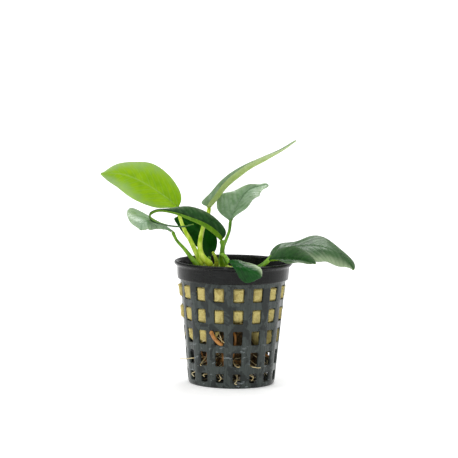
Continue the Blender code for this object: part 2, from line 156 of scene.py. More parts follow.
LEAVES = (
    Leaf(
        name="leaf_lime",
        look="leaf_young",
        stalk_look="petiole_pale",
        petiole=(
            (-13.4, -7.4, 52), (-14.5, -6.5, 53.8), (-16.2, -5.2, 56.8), (-18.4, -3.6, 61),
            (-20.9, -2, 65.2), (-22.7, 0.4, 69.5), (-23.7, 1.7, 72.7),
        ),
        petiole_radii=(1.2, 0.75),
        midrib=(
            (-23.9, 2, 73.8), (-28.3, 2.2, 77.8), (-33.8, 2, 81.6), (-41, 1.4, 85.6),
            (-48, 0.4, 88), (-56.2, -2, 88.2),
        ),
        left=((-0.2, -0.85, -0.4), (-0.5, -0.35, -0.8), (-0.2, -0.3, -0.9)),
        right=((0.95, 0.2, 0.1), (0.5, 0.2, 0.85), (0.2, 0.1, 0.95)),
        left_widths=(2.5, 5.9, 7.8, 8.4, 7.0, 4.9, 2.1),
        right_widths=(3.8, 6.6, 8.8, 9.0, 6.1, 3.3, 0.9),
        wave=(0.4, 2.0, 0.1),
    ),
    Leaf(
        name="leaf_left_low",
        look="leaf_grey_painted_sheen",
        stalk_look="petiole_green",
        petiole=(
            (-15.6, -9.5, 51.6), (-17.7, -8.8, 54), (-20.6, -7.8, 57.5), (-23.8, -6.5, 60.8),
            (-25.3, -5.9, 63.6),
        ),
        petiole_radii=(1.1, 0.65),
        midrib=(
            (-25.8, -6.4, 64.8), (-29.6, -10, 67), (-33.3, -14.6, 69), (-36, -18.6, 69.8),
            (-37.8, -21.8, 69), (-38.5, -24, 66.9),
        ),
        left=((0.3, -0.7, -0.6), (0.45, -0.6, -0.7), (0.5, -0.4, -0.6)),
        right=((-0.2, 0.8, 0.5), (-0.75, 0.5, 0.5), (-0.9, 0.1, 0.3)),
        left_widths=(0.3, 0.8, 2.2, 3.6, 4.2, 3.9, 2.4),
        right_widths=(0.8, 2.5, 6.8, 13.0, 11.0, 7.0, 1.6),
        wave=(0.3, 1.5, 0.3),
    ),
    Leaf(
        name="leaf_tall",
        look="leaf_tall",
        stalk_look="petiole_pale",
        petiole=(
            (-10.4, -10.3, 52.1), (-11.9, -9.9, 53.4), (-13.3, -9, 55.3), (-14.1, -7.4, 58.4),
            (-13.8, -5.4, 62.4), (-12.7, -1.6, 66.8), (-11, 4.4, 71), (-10.7, 6.4, 72.5),
        ),
        petiole_radii=(1.2, 0.8),
        midrib=(
            (-10.5, 8, 74.1), (-7.3, 8, 77.8), (-2.5, 8, 83.6), (4.4, 8, 89.5), (12.8, 8, 94.3),
            (20, 8, 98.3), (25.8, 8, 102.8),
        ),
        left=((-1, 0.3, -0.3), (-0.5, 0.7, 0.35), (-0.2, 0.95, 0.1)),
        right=((-0.3, -0.9, 0.1), (-0.35, -0.85, 0.25), (-0.2, -0.95, 0.15)),
        left_widths=(4.3, 4.4, 4.8, 3.6, 3.3, 2.4, 1.1),
        right_widths=(3.5, 4.9, 6.4, 5.8, 5.2, 3.6, 1.6),
        lobe=0.7,
        wave=(0.2, 2.0, 0.0),
    ),
    Leaf(
        name="leaf_right_up",
        look="leaf_grey_painted_sheen",
        stalk_look="petiole_green",
        petiole=(
            (-5.4, -5.1, 51.5), (-4.7, -2.7, 57), (-3.2, 1.4, 60.6), (-1.9, 4.4, 64),
            (-1.5, 6.2, 67.4),
        ),
        petiole_radii=(1.0, 0.65),
        midrib=(
            (-1.4, 7, 68.4), (0.5, 10, 72.6), (3.3, 14, 77.2), (6.4, 17, 80.6), (10.2, 19, 82),
            (14.6, 20.4, 82.8),
        ),
        left=((-0.85, 0.1, 0.4), (-0.75, 0.15, 0.65), (-0.3, 0.2, 0.9)),
        right=((0.45, -0.8, -0.1), (0.4, -0.85, -0.3), (0.35, -0.8, -0.4)),
        left_widths=(4.3, 7.8, 8.8, 4.7, 2.4, 1.1, 1.0),
        right_widths=(1.7, 3.9, 6.4, 7.0, 6.2, 3.8, 1.5),
        wave=(0.5, 2.5, 0.2),
    ),
    Leaf(
        name="leaf_arching",
        look="leaf_dark",
        stalk_look="petiole_green",
        petiole=(
            (-3.6, -7.7, 51.9), (-4.4, -8.4, 54.4), (-4.7, -8.8, 57), (-4.5, -8.5, 59),
            (-4.8, -8.0, 60.6),
        ),
        petiole_radii=(1.2, 1.0),
        midrib=(
            (-5.1, -8, 61.6), (-8.6, -9.2, 64.8), (-12.1, -10.5, 67.4), (-17.5, -12, 70.1),
            (-24.4, -13.4, 72.8), (-31, -14.4, 74), (-34.6, -15.4, 72.9), (-35.1, -17, 70.9),
            (-33.2, -18.8, 69.4), (-28.6, -20.2, 68.2), (-22, -21, 68), (-16.6, -21.2, 69.1),
        ),
        left=((0.5, -0.7, 0.5), (0.1, -0.72, 0.7), (0.1, -0.9, 0.4)),
        right=((0.6, 0.6, 0.55), (0.35, 0.6, 0.6), (0, 0.9, -0.3)),
        left_widths=(1.8, 2.3, 1.4, 0.6, 1.2, 1.1, 0.6),
        right_widths=(4.6, 6.3, 5.9, 1.3, 1.8, 1.5, 0.6),
        lobe=0.45,
    ),
    Leaf(
        name="leaf_behind",
        look="leaf_shade",
        stalk_look="petiole_green",
        petiole=((-10.6, -5.2, 50.6), (-10.6, -0.6, 49.6), (-10.4, 3.4, 50.8), (-10.4, 4.6, 52)),
        petiole_radii=(1.1, 0.9),
        midrib=(
            (-10.5, 5.4, 52.8), (-11.5, 7.8, 55.9), (-12.8, 9.2, 59.2), (-14.8, 10.4, 62.4),
            (-18, 11.4, 65.3), (-21.4, 12.2, 67.2), (-25.4, 13, 68.2),
        ),
        left=((-0.8, -0.1, 0.2), (-0.6, -0.1, -0.75), (-0.4, 0, -0.8)),
        right=((0.9, -0.1, 0.2), (0.6, -0.1, 0.75), (0.4, 0, 0.8)),
        left_widths=(1.0, 2.5, 4.1, 5.5, 4.9, 3.5, 1.5),
        right_widths=(2.5, 4.5, 6.0, 6.0, 4.5, 3.0, 1.2),
        wave=(0.4, 2.0, 0.4),
    ),
    Leaf(
        name="leaf_front",
        look="leaf_wet",
        stalk_look="petiole_green",
        petiole=(
            (-4.6, -10.6, 52), (-5.1, -11.6, 54.4), (-4.9, -12.9, 55.9), (-3.9, -15.6, 55.9),
            (-2.9, -19, 55.2), (-2.2, -22.7, 54.4),
        ),
        petiole_radii=(0.95, 0.75),
        midrib=(
            (-1.8, -23.8, 54.3), (0.5, -26.8, 54), (2.4, -28.8, 53.4), (4.6, -30.2, 52.6),
            (7, -31.2, 51.5), (9.6, -31.2, 50.1), (11.6, -30, 48.7),
        ),
        left=((0.3, 0.5, 0.7), (0.4, 0.75, 0.35), (0.6, 0.4, 0.3)),
        right=((-0.1, -0.7, -0.8), (-0.2, -0.1, -1), (-0.2, 0.4, -0.8)),
        left_widths=(0.8, 1.8, 3.3, 4.7, 5.0, 4.0, 2.5),
        right_widths=(0.6, 1.3, 2.5, 5.0, 5.7, 4.5, 2.3),
        camber=0.1,
        wave=(0.3, 1.5, 0.0),
    ),
    Leaf(
        name="leaf_right_long",
        look="leaf_long",
        stalk_look="petiole_green",
        petiole=((5.6, -9.4, 49.6), (10.2, -13.6, 50.9), (13.4, -13.6, 52.9), (15.4, -11.2, 54.7)),
        petiole_radii=(1.2, 0.9),
        midrib=(
            (16.2, -10.2, 55.4), (19.5, -8.2, 57.6), (23.8, -6.4, 58.6), (28.8, -5, 59.2),
            (34.3, -4.2, 59.1), (39.8, -4, 58), (44.9, -4.5, 55.6), (48.3, -5.2, 52.8),
            (50.6, -6, 49.6),
        ),
        left=((-0.3, 0.85, 0.2), (-0.1, 0.85, 0.5), (0.5, 0.7, 0.2)),
        right=((-0.1, -0.9, 0.2), (-0.25, -0.8, -0.5), (-0.3, -0.6, -0.5)),
        left_widths=(3.4, 4.4, 4.8, 8.3, 5.9, 4.1, 2.2),
        right_widths=(1.0, 2.0, 4.6, 8.6, 7.4, 5.3, 1.5),
        wave=(0.6, 2.5, 0.55),
    ),
    Leaf(
        name="leaf_right_under",
        look="leaf_dark",
        stalk_look="petiole_green",
        petiole=((6.4, -13.4, 48.6), (9.4, -17, 49.8), (12.4, -17.4, 52), (14.2, -17, 53.6)),
        petiole_radii=(0.95, 0.75),
        midrib=(
            (14.9, -16.6, 54.3), (19.4, -15.6, 54.6), (24.5, -14, 54.4), (29.5, -12.6, 53.8),
            (34.4, -11.6, 52.6),
        ),
        left=((-0.3, 0.6, 0.6), (-0.2, 0.4, 0.85), (0, 0.7, 0.6)),
        right=((0, -0.85, 0.1), (-0.2, -0.85, -0.4), (-0.3, -0.7, -0.3)),
        left_widths=(1.5, 3.8, 5.2, 6.0, 5.6, 4.2, 2.0),
        right_widths=(1.2, 2.2, 2.8, 2.4, 1.8, 1.1, 0.3),
        wave=(0.4, 2.0, 0.0),
    ),
)

RHIZOME_LINE = ((-17.4, -7.8, 48.6), (-12, -8.4, 48.6), (-6, -8, 48.5), (0, -8.6, 48.1), (4.5, -9.4, 47.8))
RHIZOME_RADII = (1.6, 2.7, 2.8, 2.3, 1.9)
STUB_LINE = ((-7.2, -11.6, 50.5), (-7, -13.2, 52.5), (-7.5, -13.8, 55), (-8.8, -13.6, 57.2))
STUB_RADII = (0.95, 0.9, 0.7, 0.5)

# Thick roots: radius, the share of it left at the end, then the route below the wool as angle from the
# front, distance from the axis and height
ROOTS = (
    (0.75, 0.5, ((-22, 9, 17), (-15, 14.6, 14.2), (-12, 15.6, 11), (-16, 13, 5.5))),
    (0.6, 0.5, ((-8, 11.5, 24), (3, 15.5, 23), (4.5, 16.2, 19), (2, 15.8, 14), (-5, 14, 8))),
    (
        0.6,
        0.5,
        (
            (30, 6, 18), (60, 12, 14.4), (70, 14.6, 12.8), (75, 16.6, 11.6), (76, 17.4, 9.8),
            (75, 17.2, 7.2), (74, 16.6, 4.6),
        ),
    ),
    (0.6, 0.5, ((150, 6, 20), (170, 12.5, 14), (190, 13.6, 8), (200, 10, 4))),
    (0.6, 0.5, ((-65, 12, 22), (-63, 15.4, 19), (-60, 15.4, 15.5), (-55, 14, 11), (-45, 12, 7))),
    (0.9, 0.7, ((-40, 11, 18.5), (-42, 15, 13.6), (-34, 15.8, 11.5), (-27, 13, 7.5))),
    (
        0.8,
        1.0,
        (
            (-25, 10, 23), (-15, 14, 19.5), (-12, 17.5, 18.8), (-14.5, 20.2, 19.2), (-19.5, 21.5, 21.2),
            (-22.8, 21.6, 23.2), (-24.6, 21.7, 24.6),
        ),
    ),
)

# Pale fine roots that show in or through the windows, as angle, distance and height
FINE_ROOTS = (
    ((-50, 12, 12), (-60, 17, 11.6), (-66, 20.4, 11.2), (-74, 23.2, 10.6)),
    ((-40, 12, 14), (-44, 17, 11), (-42, 19.4, 9.6), (-39, 20.2, 9.2)),
    ((2, 12, 12), (4, 17, 9.8), (7, 19.4, 9.4), (10, 20.0, 9.8)),
    ((22, 13, 12), (26, 18.2, 9.4), (31, 19.8, 9.0), (38, 20.0, 8.6)),
    ((-30, 13, 20), (-20, 17, 21.4), (-12, 19.6, 20.4), (-8, 19.8, 19.4)),
    ((-26, 14, 24), (-18, 17.6, 23.2), (-14, 19.2, 21), (-11, 19.0, 18.6)),
    ((-48, 14, 20), (-42, 18.8, 19.6), (-36, 20.2, 19.8), (-33, 20.0, 20.6)),
    ((-30, 12, 10), (-36, 16, 5.8), (-40, 18.6, 5.2), (-36, 18.9, 4.6)),
    ((-20, 13, 9), (-18, 17, 5.6), (-14, 18.4, 4.2), (-17, 18.6, 2.8)),
    ((10, 12, 8), (8, 16.6, 3.8), (4, 18.4, 2.4), (9, 18.3, 2.0)),
    ((24, 12, 9), (26, 16.8, 5.8), (30, 18.4, 4.6), (27, 18.4, 3.2)),
    ((-50, 13, 9), (-56, 17, 6), (-62, 18.6, 4.6), (-57, 18.4, 3.4)),
)


# ---------------------------------------------------------------- curves and surfaces


def curve(a, b, c, d, t):
    """The share t of the way from b to c on the smooth curve through a, b, c and d."""
    bend = (2 * a - 5 * b + 4 * c - d) * t**2 + (3 * b - a - 3 * c + d) * t**3
    return b + 0.5 * ((c - a) * t + bend)


def lengths_along(line):
    """How far along the line each of its points lies."""
    return np.concatenate([[0], np.cumsum(np.linalg.norm(np.diff(line, axis=0), axis=1))])


def read_at(places, marks, rows):
    """The rows read at the places, where marks says at which place each row lies."""
    return np.stack([np.interp(places, marks, rows[:, axis]) for axis in range(3)], 1)


def smooth_line(points, count):
    """count + 1 evenly spaced points on the smooth curve through the given ones, as rows of an array."""
    knots = np.array(points, float)
    knots = np.vstack([2 * knots[0] - knots[1], knots, 2 * knots[-1] - knots[-2]])
    t = np.linspace(0, 1, 24, endpoint=False)[:, None]
    dense = [curve(*four, t) for four in zip(knots, knots[1:], knots[2:], knots[3:])]
    dense = np.vstack([*dense, knots[-2]])
    lengths = lengths_along(dense)
    return read_at(np.linspace(0, lengths[-1], count + 1), lengths, dense)


def unit(vectors):
    return vectors / np.maximum(np.linalg.norm(vectors, axis=-1, keepdims=True), 1e-9)


def tangents(line):
    return unit(np.gradient(line, axis=0))


def frames(line, hint):
    """Two directions across the line at each point, carried along it without twisting."""
    along = tangents(line)
    side = np.array(hint, float)
    sides = []
    for tangent in along:
        side = side - side.dot(tangent) * tangent
        side = side / np.linalg.norm(side)
        sides.append(side)
    sides = np.array(sides)
    return sides, np.cross(along, sides)


def spread(values, places):
    """The given values, read evenly over places from 0 to 1."""
    return np.interp(places, np.linspace(0, 1, len(values)), values)


def step(low, high, x):
    """0 below low and 1 above high, smoothly."""
    t = np.clip((x - low) / (high - low), 0, 1)
    return t * t * (3 - 2 * t)


def hump(x, width):
    """1 where x is 0, falling away smoothly over the width."""
    return np.exp(-((x / width) ** 2))


def turn_from(middle, angle):
    """Degrees from the middle angle, between -180 and 180."""
    return (angle - middle + 180) % 360 - 180


def bumps(points, scale, seed, octaves=3):
    """Smooth random heights from about -1 to 1 at the points, from a sum of waves in random directions."""
    draw = np.random.default_rng(seed)
    total = np.zeros(points.shape[:-1])
    weight = 1.0
    for octave in range(octaves):
        for _ in range(7):
            direction = unit(draw.normal(size=3)) * scale * 2**octave * draw.uniform(0.7, 1.3)
            total += weight * np.sin(points @ direction + draw.uniform(0, math.tau)) / 3.2
        weight *= 0.5
    return total


def wander(line, size, scale, seed):
    """The line, moved a little to and fro."""
    return line + size * np.stack([bumps(line, scale, seed + axis, 2) for axis in range(3)], 1)


def around(angle, radius, height):
    """Places by angle from the front towards +X in degrees, distance from the axis and height."""
    turn = np.radians(angle)
    shape = np.broadcast(turn, radius, height).shape
    return np.stack([radius * np.sin(turn), -radius * np.cos(turn), np.broadcast_to(height, shape)], -1)


def grid_faces(rows, columns, start=0, close_columns=False):
    """Quads of a grid of points that is stored row by row."""
    across = columns if close_columns else columns - 1
    i, j = np.meshgrid(np.arange(rows - 1), np.arange(across), indexing="ij")
    right = (j + 1) % columns
    here, below = i * columns, (i + 1) * columns
    quads = np.stack([here + j, here + right, below + right, below + j], -1)
    return (quads.reshape(-1, 4) + start).tolist()


def joined(pieces):
    """The points and the faces of many pieces, as one."""
    faces, start = [], 0
    for points, own_faces in pieces:
        faces += [[index + start for index in face] for face in own_faces]
        start += len(points)
    return np.vstack([points for points, _ in pieces]), faces


def add_object(name, data):
    obj = bpy.data.objects.new(name, data)
    bpy.context.scene.collection.objects.link(obj)
    return obj


def add_mesh(name, points, faces, materials, slots=None, maps=None):
    """A smooth-shaded mesh object. maps holds named pairs of numbers for each point, kept as UV maps."""
    mesh = bpy.data.meshes.new(name)
    mesh.from_pydata((np.array(points) * MM).tolist(), [], faces)
    for material in materials:
        mesh.materials.append(material)
    if slots:
        mesh.polygons.foreach_set("material_index", slots)
    corners = np.zeros(len(mesh.loops), np.int32)
    mesh.loops.foreach_get("vertex_index", corners)
    for key, pairs in (maps or {}).items():
        layer = mesh.uv_layers.new(name=key)
        layer.uv.foreach_set("vector", np.array(pairs, np.float32)[corners].ravel())
    mesh.polygons.foreach_set("use_smooth", [True] * len(mesh.polygons))
    mesh.update()
    return add_object(name, mesh)


def keep(obj, slot, *nodes):
    """Fixes a finished piece to the frame: it rides on the one body and may stand for CAD nodes."""
    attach(obj, "root")
    if nodes:
        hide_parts(*nodes)
    return obj


# ---------------------------------------------------------------- materials

# Painted sheen: a pale grey-green painted into the blades' colour towards the margin and the tip, standing
# in for the reflection of the bright room.
PAINTED_SHEEN_COLOUR = (0.55, 0.68, 0.42)  # the pale sheen towards a blade's margin and tip


class Shader:
    """Short ways to add nodes to one material."""

    def __init__(self, name):
        self.material = bpy.data.materials.new(name)
        self.material.use_nodes = True
        self.tree = self.material.node_tree
        self.surface = self.tree.nodes["Principled BSDF"]
        self.output = self.tree.nodes["Material Output"]

    def node(self, kind, settings=None, **inputs):
        made = self.tree.nodes.new(kind)
        for key, value in (settings or {}).items():
            setattr(made, key, value)
        for key, value in inputs.items():
            self.put(made.inputs[key.replace("_", " ")], value)
        return made

    def put(self, socket, value):
        if isinstance(value, bpy.types.NodeSocket):
            self.tree.links.new(value, socket)
        elif hasattr(value, "__len__") and len(value) == 3 and socket.type == "RGBA":
            socket.default_value = (*value, 1.0)
        else:
            socket.default_value = value

    def math(self, operation, first, second=0.0):
        made = self.node("ShaderNodeMath", {"operation": operation})
        self.put(made.inputs[0], first)
        self.put(made.inputs[1], second)
        return made.outputs[0]

    def times(self, first, second):
        return self.math("MULTIPLY", first, second)

    def plus(self, first, second):
        return self.math("ADD", first, second)

    def mix(self, share, first, second):
        made = self.node("ShaderNodeMix", {"data_type": "RGBA"})
        self.put(made.inputs[0], share)
        self.put(made.inputs[6], first)
        self.put(made.inputs[7], second)
        return made.outputs[2]

    def ranged(self, value, low, high, start=0.0, end=1.0):
        made = self.node("ShaderNodeMapRange", {"interpolation_type": "SMOOTHSTEP"}, Value=value)
        for key, number in (("From Min", low), ("From Max", high), ("To Min", start), ("To Max", end)):
            made.inputs[key].default_value = number
        return made.outputs[0]

    def place(self, stretch=(1.0, 1.0, 1.0)):
        """The piece's own coordinates in mm, stretched."""
        coordinates = self.node("ShaderNodeTexCoord").outputs["Object"]
        scaled = self.node("ShaderNodeMapping", Vector=coordinates)
        scaled.inputs["Scale"].default_value = [1000 * s for s in stretch]
        return scaled.outputs[0]

    def pair(self, name):
        """The two numbers of one of the piece's UV maps."""
        return self.parts(self.node("ShaderNodeUVMap", {"uv_map": name}).outputs[0])[:2]

    def parts(self, vector):
        """The three numbers of a vector."""
        return self.node("ShaderNodeSeparateXYZ", Vector=vector).outputs[:]

    def noise(self, vector, scale, detail=3.0, roughness=0.55, distortion=0.0):
        made = self.node("ShaderNodeTexNoise", Vector=vector, Scale=scale, Detail=detail)
        made.inputs["Roughness"].default_value = roughness
        made.inputs["Distortion"].default_value = distortion
        return made.outputs[0]

    def bump(self, height, distance):
        """Bump whose height of 1 is distance in mm."""
        made = self.node("ShaderNodeBump", Height=height)
        made.inputs["Strength"].default_value = 1.0
        made.inputs["Distance"].default_value = distance * MM
        self.put(self.surface.inputs["Normal"], made.outputs[0])
        return made.outputs[0]

    def set(self, **values):
        for key, value in values.items():
            self.put(self.surface.inputs[key.replace("_", " ")], value)

    def glow_through(self, share, colour, normal):
        """Lets part of the light through, as a thin leaf does."""
        thin = self.node("ShaderNodeBsdfTranslucent", Color=colour, Normal=normal)
        mixed = self.node("ShaderNodeMixShader")
        self.put(mixed.inputs[0], share)
        self.put(mixed.inputs[1], self.surface.outputs[0])
        self.put(mixed.inputs[2], thin.outputs[0])
        self.put(self.output.inputs["Surface"], mixed.outputs[0])


@dataclass
class Blade:
    """Colours and finish of one face of a leaf."""

    body: tuple
    shade: tuple
    vein: tuple
    # The sheen band colour is a painted sheen: a lighter grey-green painted between the side veins and at
    # the margin, where the quilted blade would catch the light.
    sheen_band: tuple
    through: tuple = (0.1, 0.35, 0.0)
    roughness: tuple = (0.4, 0.55)
    vein_share: float = 0.7
    sheen_band_share: float = 0.3
    # How much painted sheen each half of the blade takes towards its margin and tip.
    painted_sheen: tuple = (0.0, 0.0)  # shares of the left and the right half
    thin: float = 0.08
    gloss: float = 0.2


def blade_material(name, look):
    s = Shader(name)
    phase, offset = s.pair("veins")
    along, across = s.pair("blade")
    from_vein = s.math("PINGPONG", phase, 0.5)
    laterals = s.ranged(from_vein, 0.0, 0.15, 1.0, 0.0)
    # Painted sheen in bands between the side veins, broken up by noise.
    sheen_bands = s.ranged(from_vein, 0.1, 0.42)
    sheen_bands = s.times(sheen_bands, s.ranged(s.noise(s.place(), 0.35, 2.0), 0.35, 0.65))
    minor = s.ranged(s.math("PINGPONG", s.times(phase, 5.0), 0.5), 0.0, 0.3, 1.0, 0.0)
    midrib = s.ranged(s.math("ABSOLUTE", offset), 0.012, 0.05, 1.0, 0.0)
    reach = s.times(s.math("ABSOLUTE", s.math("SUBTRACT", across, 0.5)), 2.0)
    soft = s.noise(s.place(), 0.28, 3.0)
    cells = s.noise(s.place(), 5.0, 2.0)
    edge = s.ranged(reach, 0.95, 1.0)
    colour = s.mix(s.ranged(soft, 0.35, 0.68), look.body, look.shade)
    colour = s.mix(s.times(sheen_bands, look.sheen_band_share), colour, look.sheen_band)
    # Painted sheen: paler towards the margin and the tip, on the halves whose shares the look gives.
    pale = s.plus(s.times(reach, 0.9), s.times(along, 0.8))
    pale = s.ranged(s.plus(pale, s.times(soft, 0.6)), 1.0, 1.9)
    half = s.ranged(s.plus(across, s.times(soft, 0.1)), 0.5, 0.6, *look.painted_sheen)
    colour = s.mix(s.times(pale, half), colour, PAINTED_SHEEN_COLOUR)
    colour = s.mix(s.times(minor, 0.14 * look.vein_share), colour, look.vein)
    colour = s.mix(s.times(laterals, 0.65 * look.vein_share), colour, look.vein)
    colour = s.mix(s.times(midrib, look.vein_share), colour, look.vein)
    # The margin takes the painted sheen colour too.
    colour = s.mix(s.times(edge, 0.5), colour, look.sheen_band)
    height = s.plus(s.times(laterals, -0.5), s.times(minor, -0.12))
    height = s.plus(height, s.times(cells, 0.06))
    height = s.plus(height, s.times(soft, 1.2))
    normal = s.bump(height, 0.06)
    s.set(
        Base_Color=colour,
        Roughness=s.ranged(s.noise(s.place(), 0.4, 3.0), 0.3, 0.7, *look.roughness),
        Specular_IOR_Level=look.gloss,
    )
    s.glow_through(look.thin, look.through, normal)
    return s.material


DARK_UNDERSIDE = Blade(
    body=(0.12, 0.27, 0.006), shade=(0.08, 0.2, 0.004), vein=(0.2, 0.36, 0.03), sheen_band=(0.13, 0.28, 0.01)
)

# The upper and the lower face of each kind of blade
BLADES = {
    "leaf_young": (
        Blade(
            body=(0.36, 0.6, 0.0), shade=(0.26, 0.5, 0.0), vein=(0.5, 0.7, 0.16), sheen_band=(0.42, 0.64, 0.01),
            through=(0.3, 0.62, 0.0), roughness=(0.34, 0.48), vein_share=0.4, sheen_band_share=0.4,
            painted_sheen=(0.6, 0.6), thin=0.3,
        ),
        Blade(
            body=(0.3, 0.5, 0.06), shade=(0.26, 0.45, 0.05), vein=(0.42, 0.6, 0.15), sheen_band=(0.3, 0.5, 0.06),
            through=(0.3, 0.6, 0.01), roughness=(0.45, 0.6), painted_sheen=(0.2, 0.2), thin=0.3,
        ),
    ),
    "leaf_dark": (
        Blade(
            body=(0.006, 0.06, 0.003), shade=(0.003, 0.036, 0.002), vein=(0.012, 0.07, 0.006),
            sheen_band=(0.05, 0.13, 0.035), through=(0.05, 0.3, 0.0), roughness=(0.2, 0.32), sheen_band_share=0.5,
            painted_sheen=(0.1, 0.35), thin=0.05, gloss=0.25,
        ),
        DARK_UNDERSIDE,
    ),
    "leaf_long": (
        Blade(
            body=(0.04, 0.11, 0.03), shade=(0.008, 0.05, 0.005), vein=(0.03, 0.1, 0.02),
            sheen_band=(0.12, 0.21, 0.1), through=(0.05, 0.3, 0.0), roughness=(0.2, 0.32), vein_share=0.4,
            sheen_band_share=0.4, painted_sheen=(0.1, 0.6), thin=0.05, gloss=0.25,
        ),
        DARK_UNDERSIDE,
    ),
    # The leaf behind the others: its upper face is painted very dark. This is painted shade for the shadow
    # it stands in, on top of its dark green.
    "leaf_shade": (
        Blade(
            body=(0.001, 0.055, 0.0), shade=(0.001, 0.03, 0.0), vein=(0.006, 0.08, 0.002),
            sheen_band=(0.004, 0.075, 0.001), through=(0.03, 0.3, 0.0), roughness=(0.3, 0.4), vein_share=0.6,
            gloss=0.08,
        ),
        Blade(
            body=(0.05, 0.2, 0.002), shade=(0.03, 0.14, 0.002), vein=(0.1, 0.27, 0.01),
            sheen_band=(0.06, 0.21, 0.004), gloss=0.15,
        ),
    ),
    "leaf_wet": (
        Blade(
            body=(0.004, 0.06, 0.006), shade=(0.002, 0.03, 0.003), vein=(0.02, 0.1, 0.02),
            sheen_band=(0.02, 0.1, 0.02), through=(0.05, 0.3, 0.01), roughness=(0.08, 0.18), vein_share=0.6,
            sheen_band_share=0.4, painted_sheen=(0.9, 0.0), thin=0.03, gloss=0.14,
        ),
        Blade(
            body=(0.1, 0.24, 0.02), shade=(0.06, 0.18, 0.012), vein=(0.18, 0.32, 0.06),
            sheen_band=(0.11, 0.25, 0.03), through=(0.1, 0.3, 0.01), roughness=(0.3, 0.45), gloss=0.3,
        ),
    ),
    # Blades whose upper face is painted a pale grey-green all over: a painted sheen, the reflection of the
    # bright room on the glossy leaf.
    "leaf_grey_painted_sheen": (
        Blade(
            body=(0.27, 0.41, 0.25), shade=(0.13, 0.26, 0.11), vein=(0.1, 0.22, 0.08),
            sheen_band=(0.36, 0.5, 0.34), through=(0.08, 0.3, 0.01), roughness=(0.24, 0.38), vein_share=0.35,
            sheen_band_share=0.35, painted_sheen=(0.35, 0.35), gloss=0.5,
        ),
        Blade(
            body=(0.12, 0.25, 0.04), shade=(0.08, 0.2, 0.03), vein=(0.2, 0.34, 0.08),
            sheen_band=(0.13, 0.26, 0.05), through=(0.1, 0.3, 0.01), thin=0.1, gloss=0.3,
        ),
    ),
    "leaf_tall": (
        Blade(
            body=(0.16, 0.27, 0.13), shade=(0.09, 0.19, 0.06), vein=(0.25, 0.38, 0.17),
            sheen_band=(0.28, 0.4, 0.26), through=(0.15, 0.4, 0.01), roughness=(0.28, 0.42), vein_share=0.5,
            sheen_band_share=0.4, painted_sheen=(0.3, 0.3), thin=0.15, gloss=0.4,
        ),
        Blade(
            body=(0.5, 0.65, 0.24), shade=(0.42, 0.58, 0.14), vein=(0.62, 0.74, 0.36),
            sheen_band=(0.52, 0.66, 0.26), through=(0.3, 0.6, 0.02), roughness=(0.4, 0.52), vein_share=0.5,
            painted_sheen=(0.6, 0.6), thin=0.2, gloss=0.25,
        ),
    ),
}


def stem_material(name, pale, green, base):
    """A living stalk. The first number of its map runs from 0 at its foot to 1 at its top."""
    s = Shader(name)
    along, _ = s.pair("stem")
    patches = s.noise(s.place((1.0, 1.0, 0.35)), 0.5, 3.0)
    lines = s.noise(s.place((1.0, 1.0, 0.08)), 5.0, 2.0)
    colour = s.mix(s.ranged(patches, 0.35, 0.68), pale, green)
    colour = s.mix(s.times(s.ranged(lines, 0.45, 0.7), 0.3), colour, green)
    colour = s.mix(s.ranged(along, 0.0, 0.22, 0.75, 0.0), colour, base)
    s.bump(s.plus(lines, s.times(patches, 0.6)), 0.05)
    s.set(Base_Color=colour, Roughness=s.ranged(patches, 0.3, 0.7, 0.32, 0.48), Specular_IOR_Level=0.3)
    return s.material


# Pale and green patches, and the colour of the foot, for each kind of stalk
STALKS = {
    "petiole_pale": ((0.66, 0.78, 0.12), (0.34, 0.54, 0.0), (0.42, 0.58, 0.0)),
    "petiole_green": ((0.19, 0.4, 0.012), (0.065, 0.19, 0.004), (0.2, 0.36, 0.0)),
}


def rhizome_material():
    s = Shader("rhizome_skin")
    along, _ = s.pair("stem")
    grain = s.noise(s.place(), 0.9, 5.0, 0.65)
    rings = s.ranged(s.math("PINGPONG", s.times(along, 9.0), 0.5), 0.0, 0.13, 1.0, 0.0)
    colour = s.mix(s.ranged(grain, 0.35, 0.65), (0.42, 0.55, 0.015), (0.24, 0.38, 0.008))
    colour = s.mix(s.times(rings, 0.6), colour, (0.16, 0.1, 0.02))
    colour = s.mix(s.ranged(grain, 0.64, 0.75), colour, (0.1, 0.06, 0.02))
    s.bump(s.math("SUBTRACT", grain, rings), 0.15)
    s.set(Base_Color=colour, Roughness=0.45)
    return s.material


def root_material(name, light, dark):
    s = Shader(name)
    patches = s.noise(s.place(), 0.6, 4.0)
    grain = s.noise(s.place(), 5.0, 3.0)
    colour = s.mix(s.ranged(patches, 0.3, 0.7), light, dark)
    colour = s.mix(s.times(s.ranged(grain, 0.5, 0.7), 0.4), colour, dark)
    s.bump(s.plus(grain, patches), 0.06)
    s.set(Base_Color=colour, Roughness=s.ranged(grain, 0.3, 0.7, 0.35, 0.55), Coat_Weight=0.2)
    return s.material


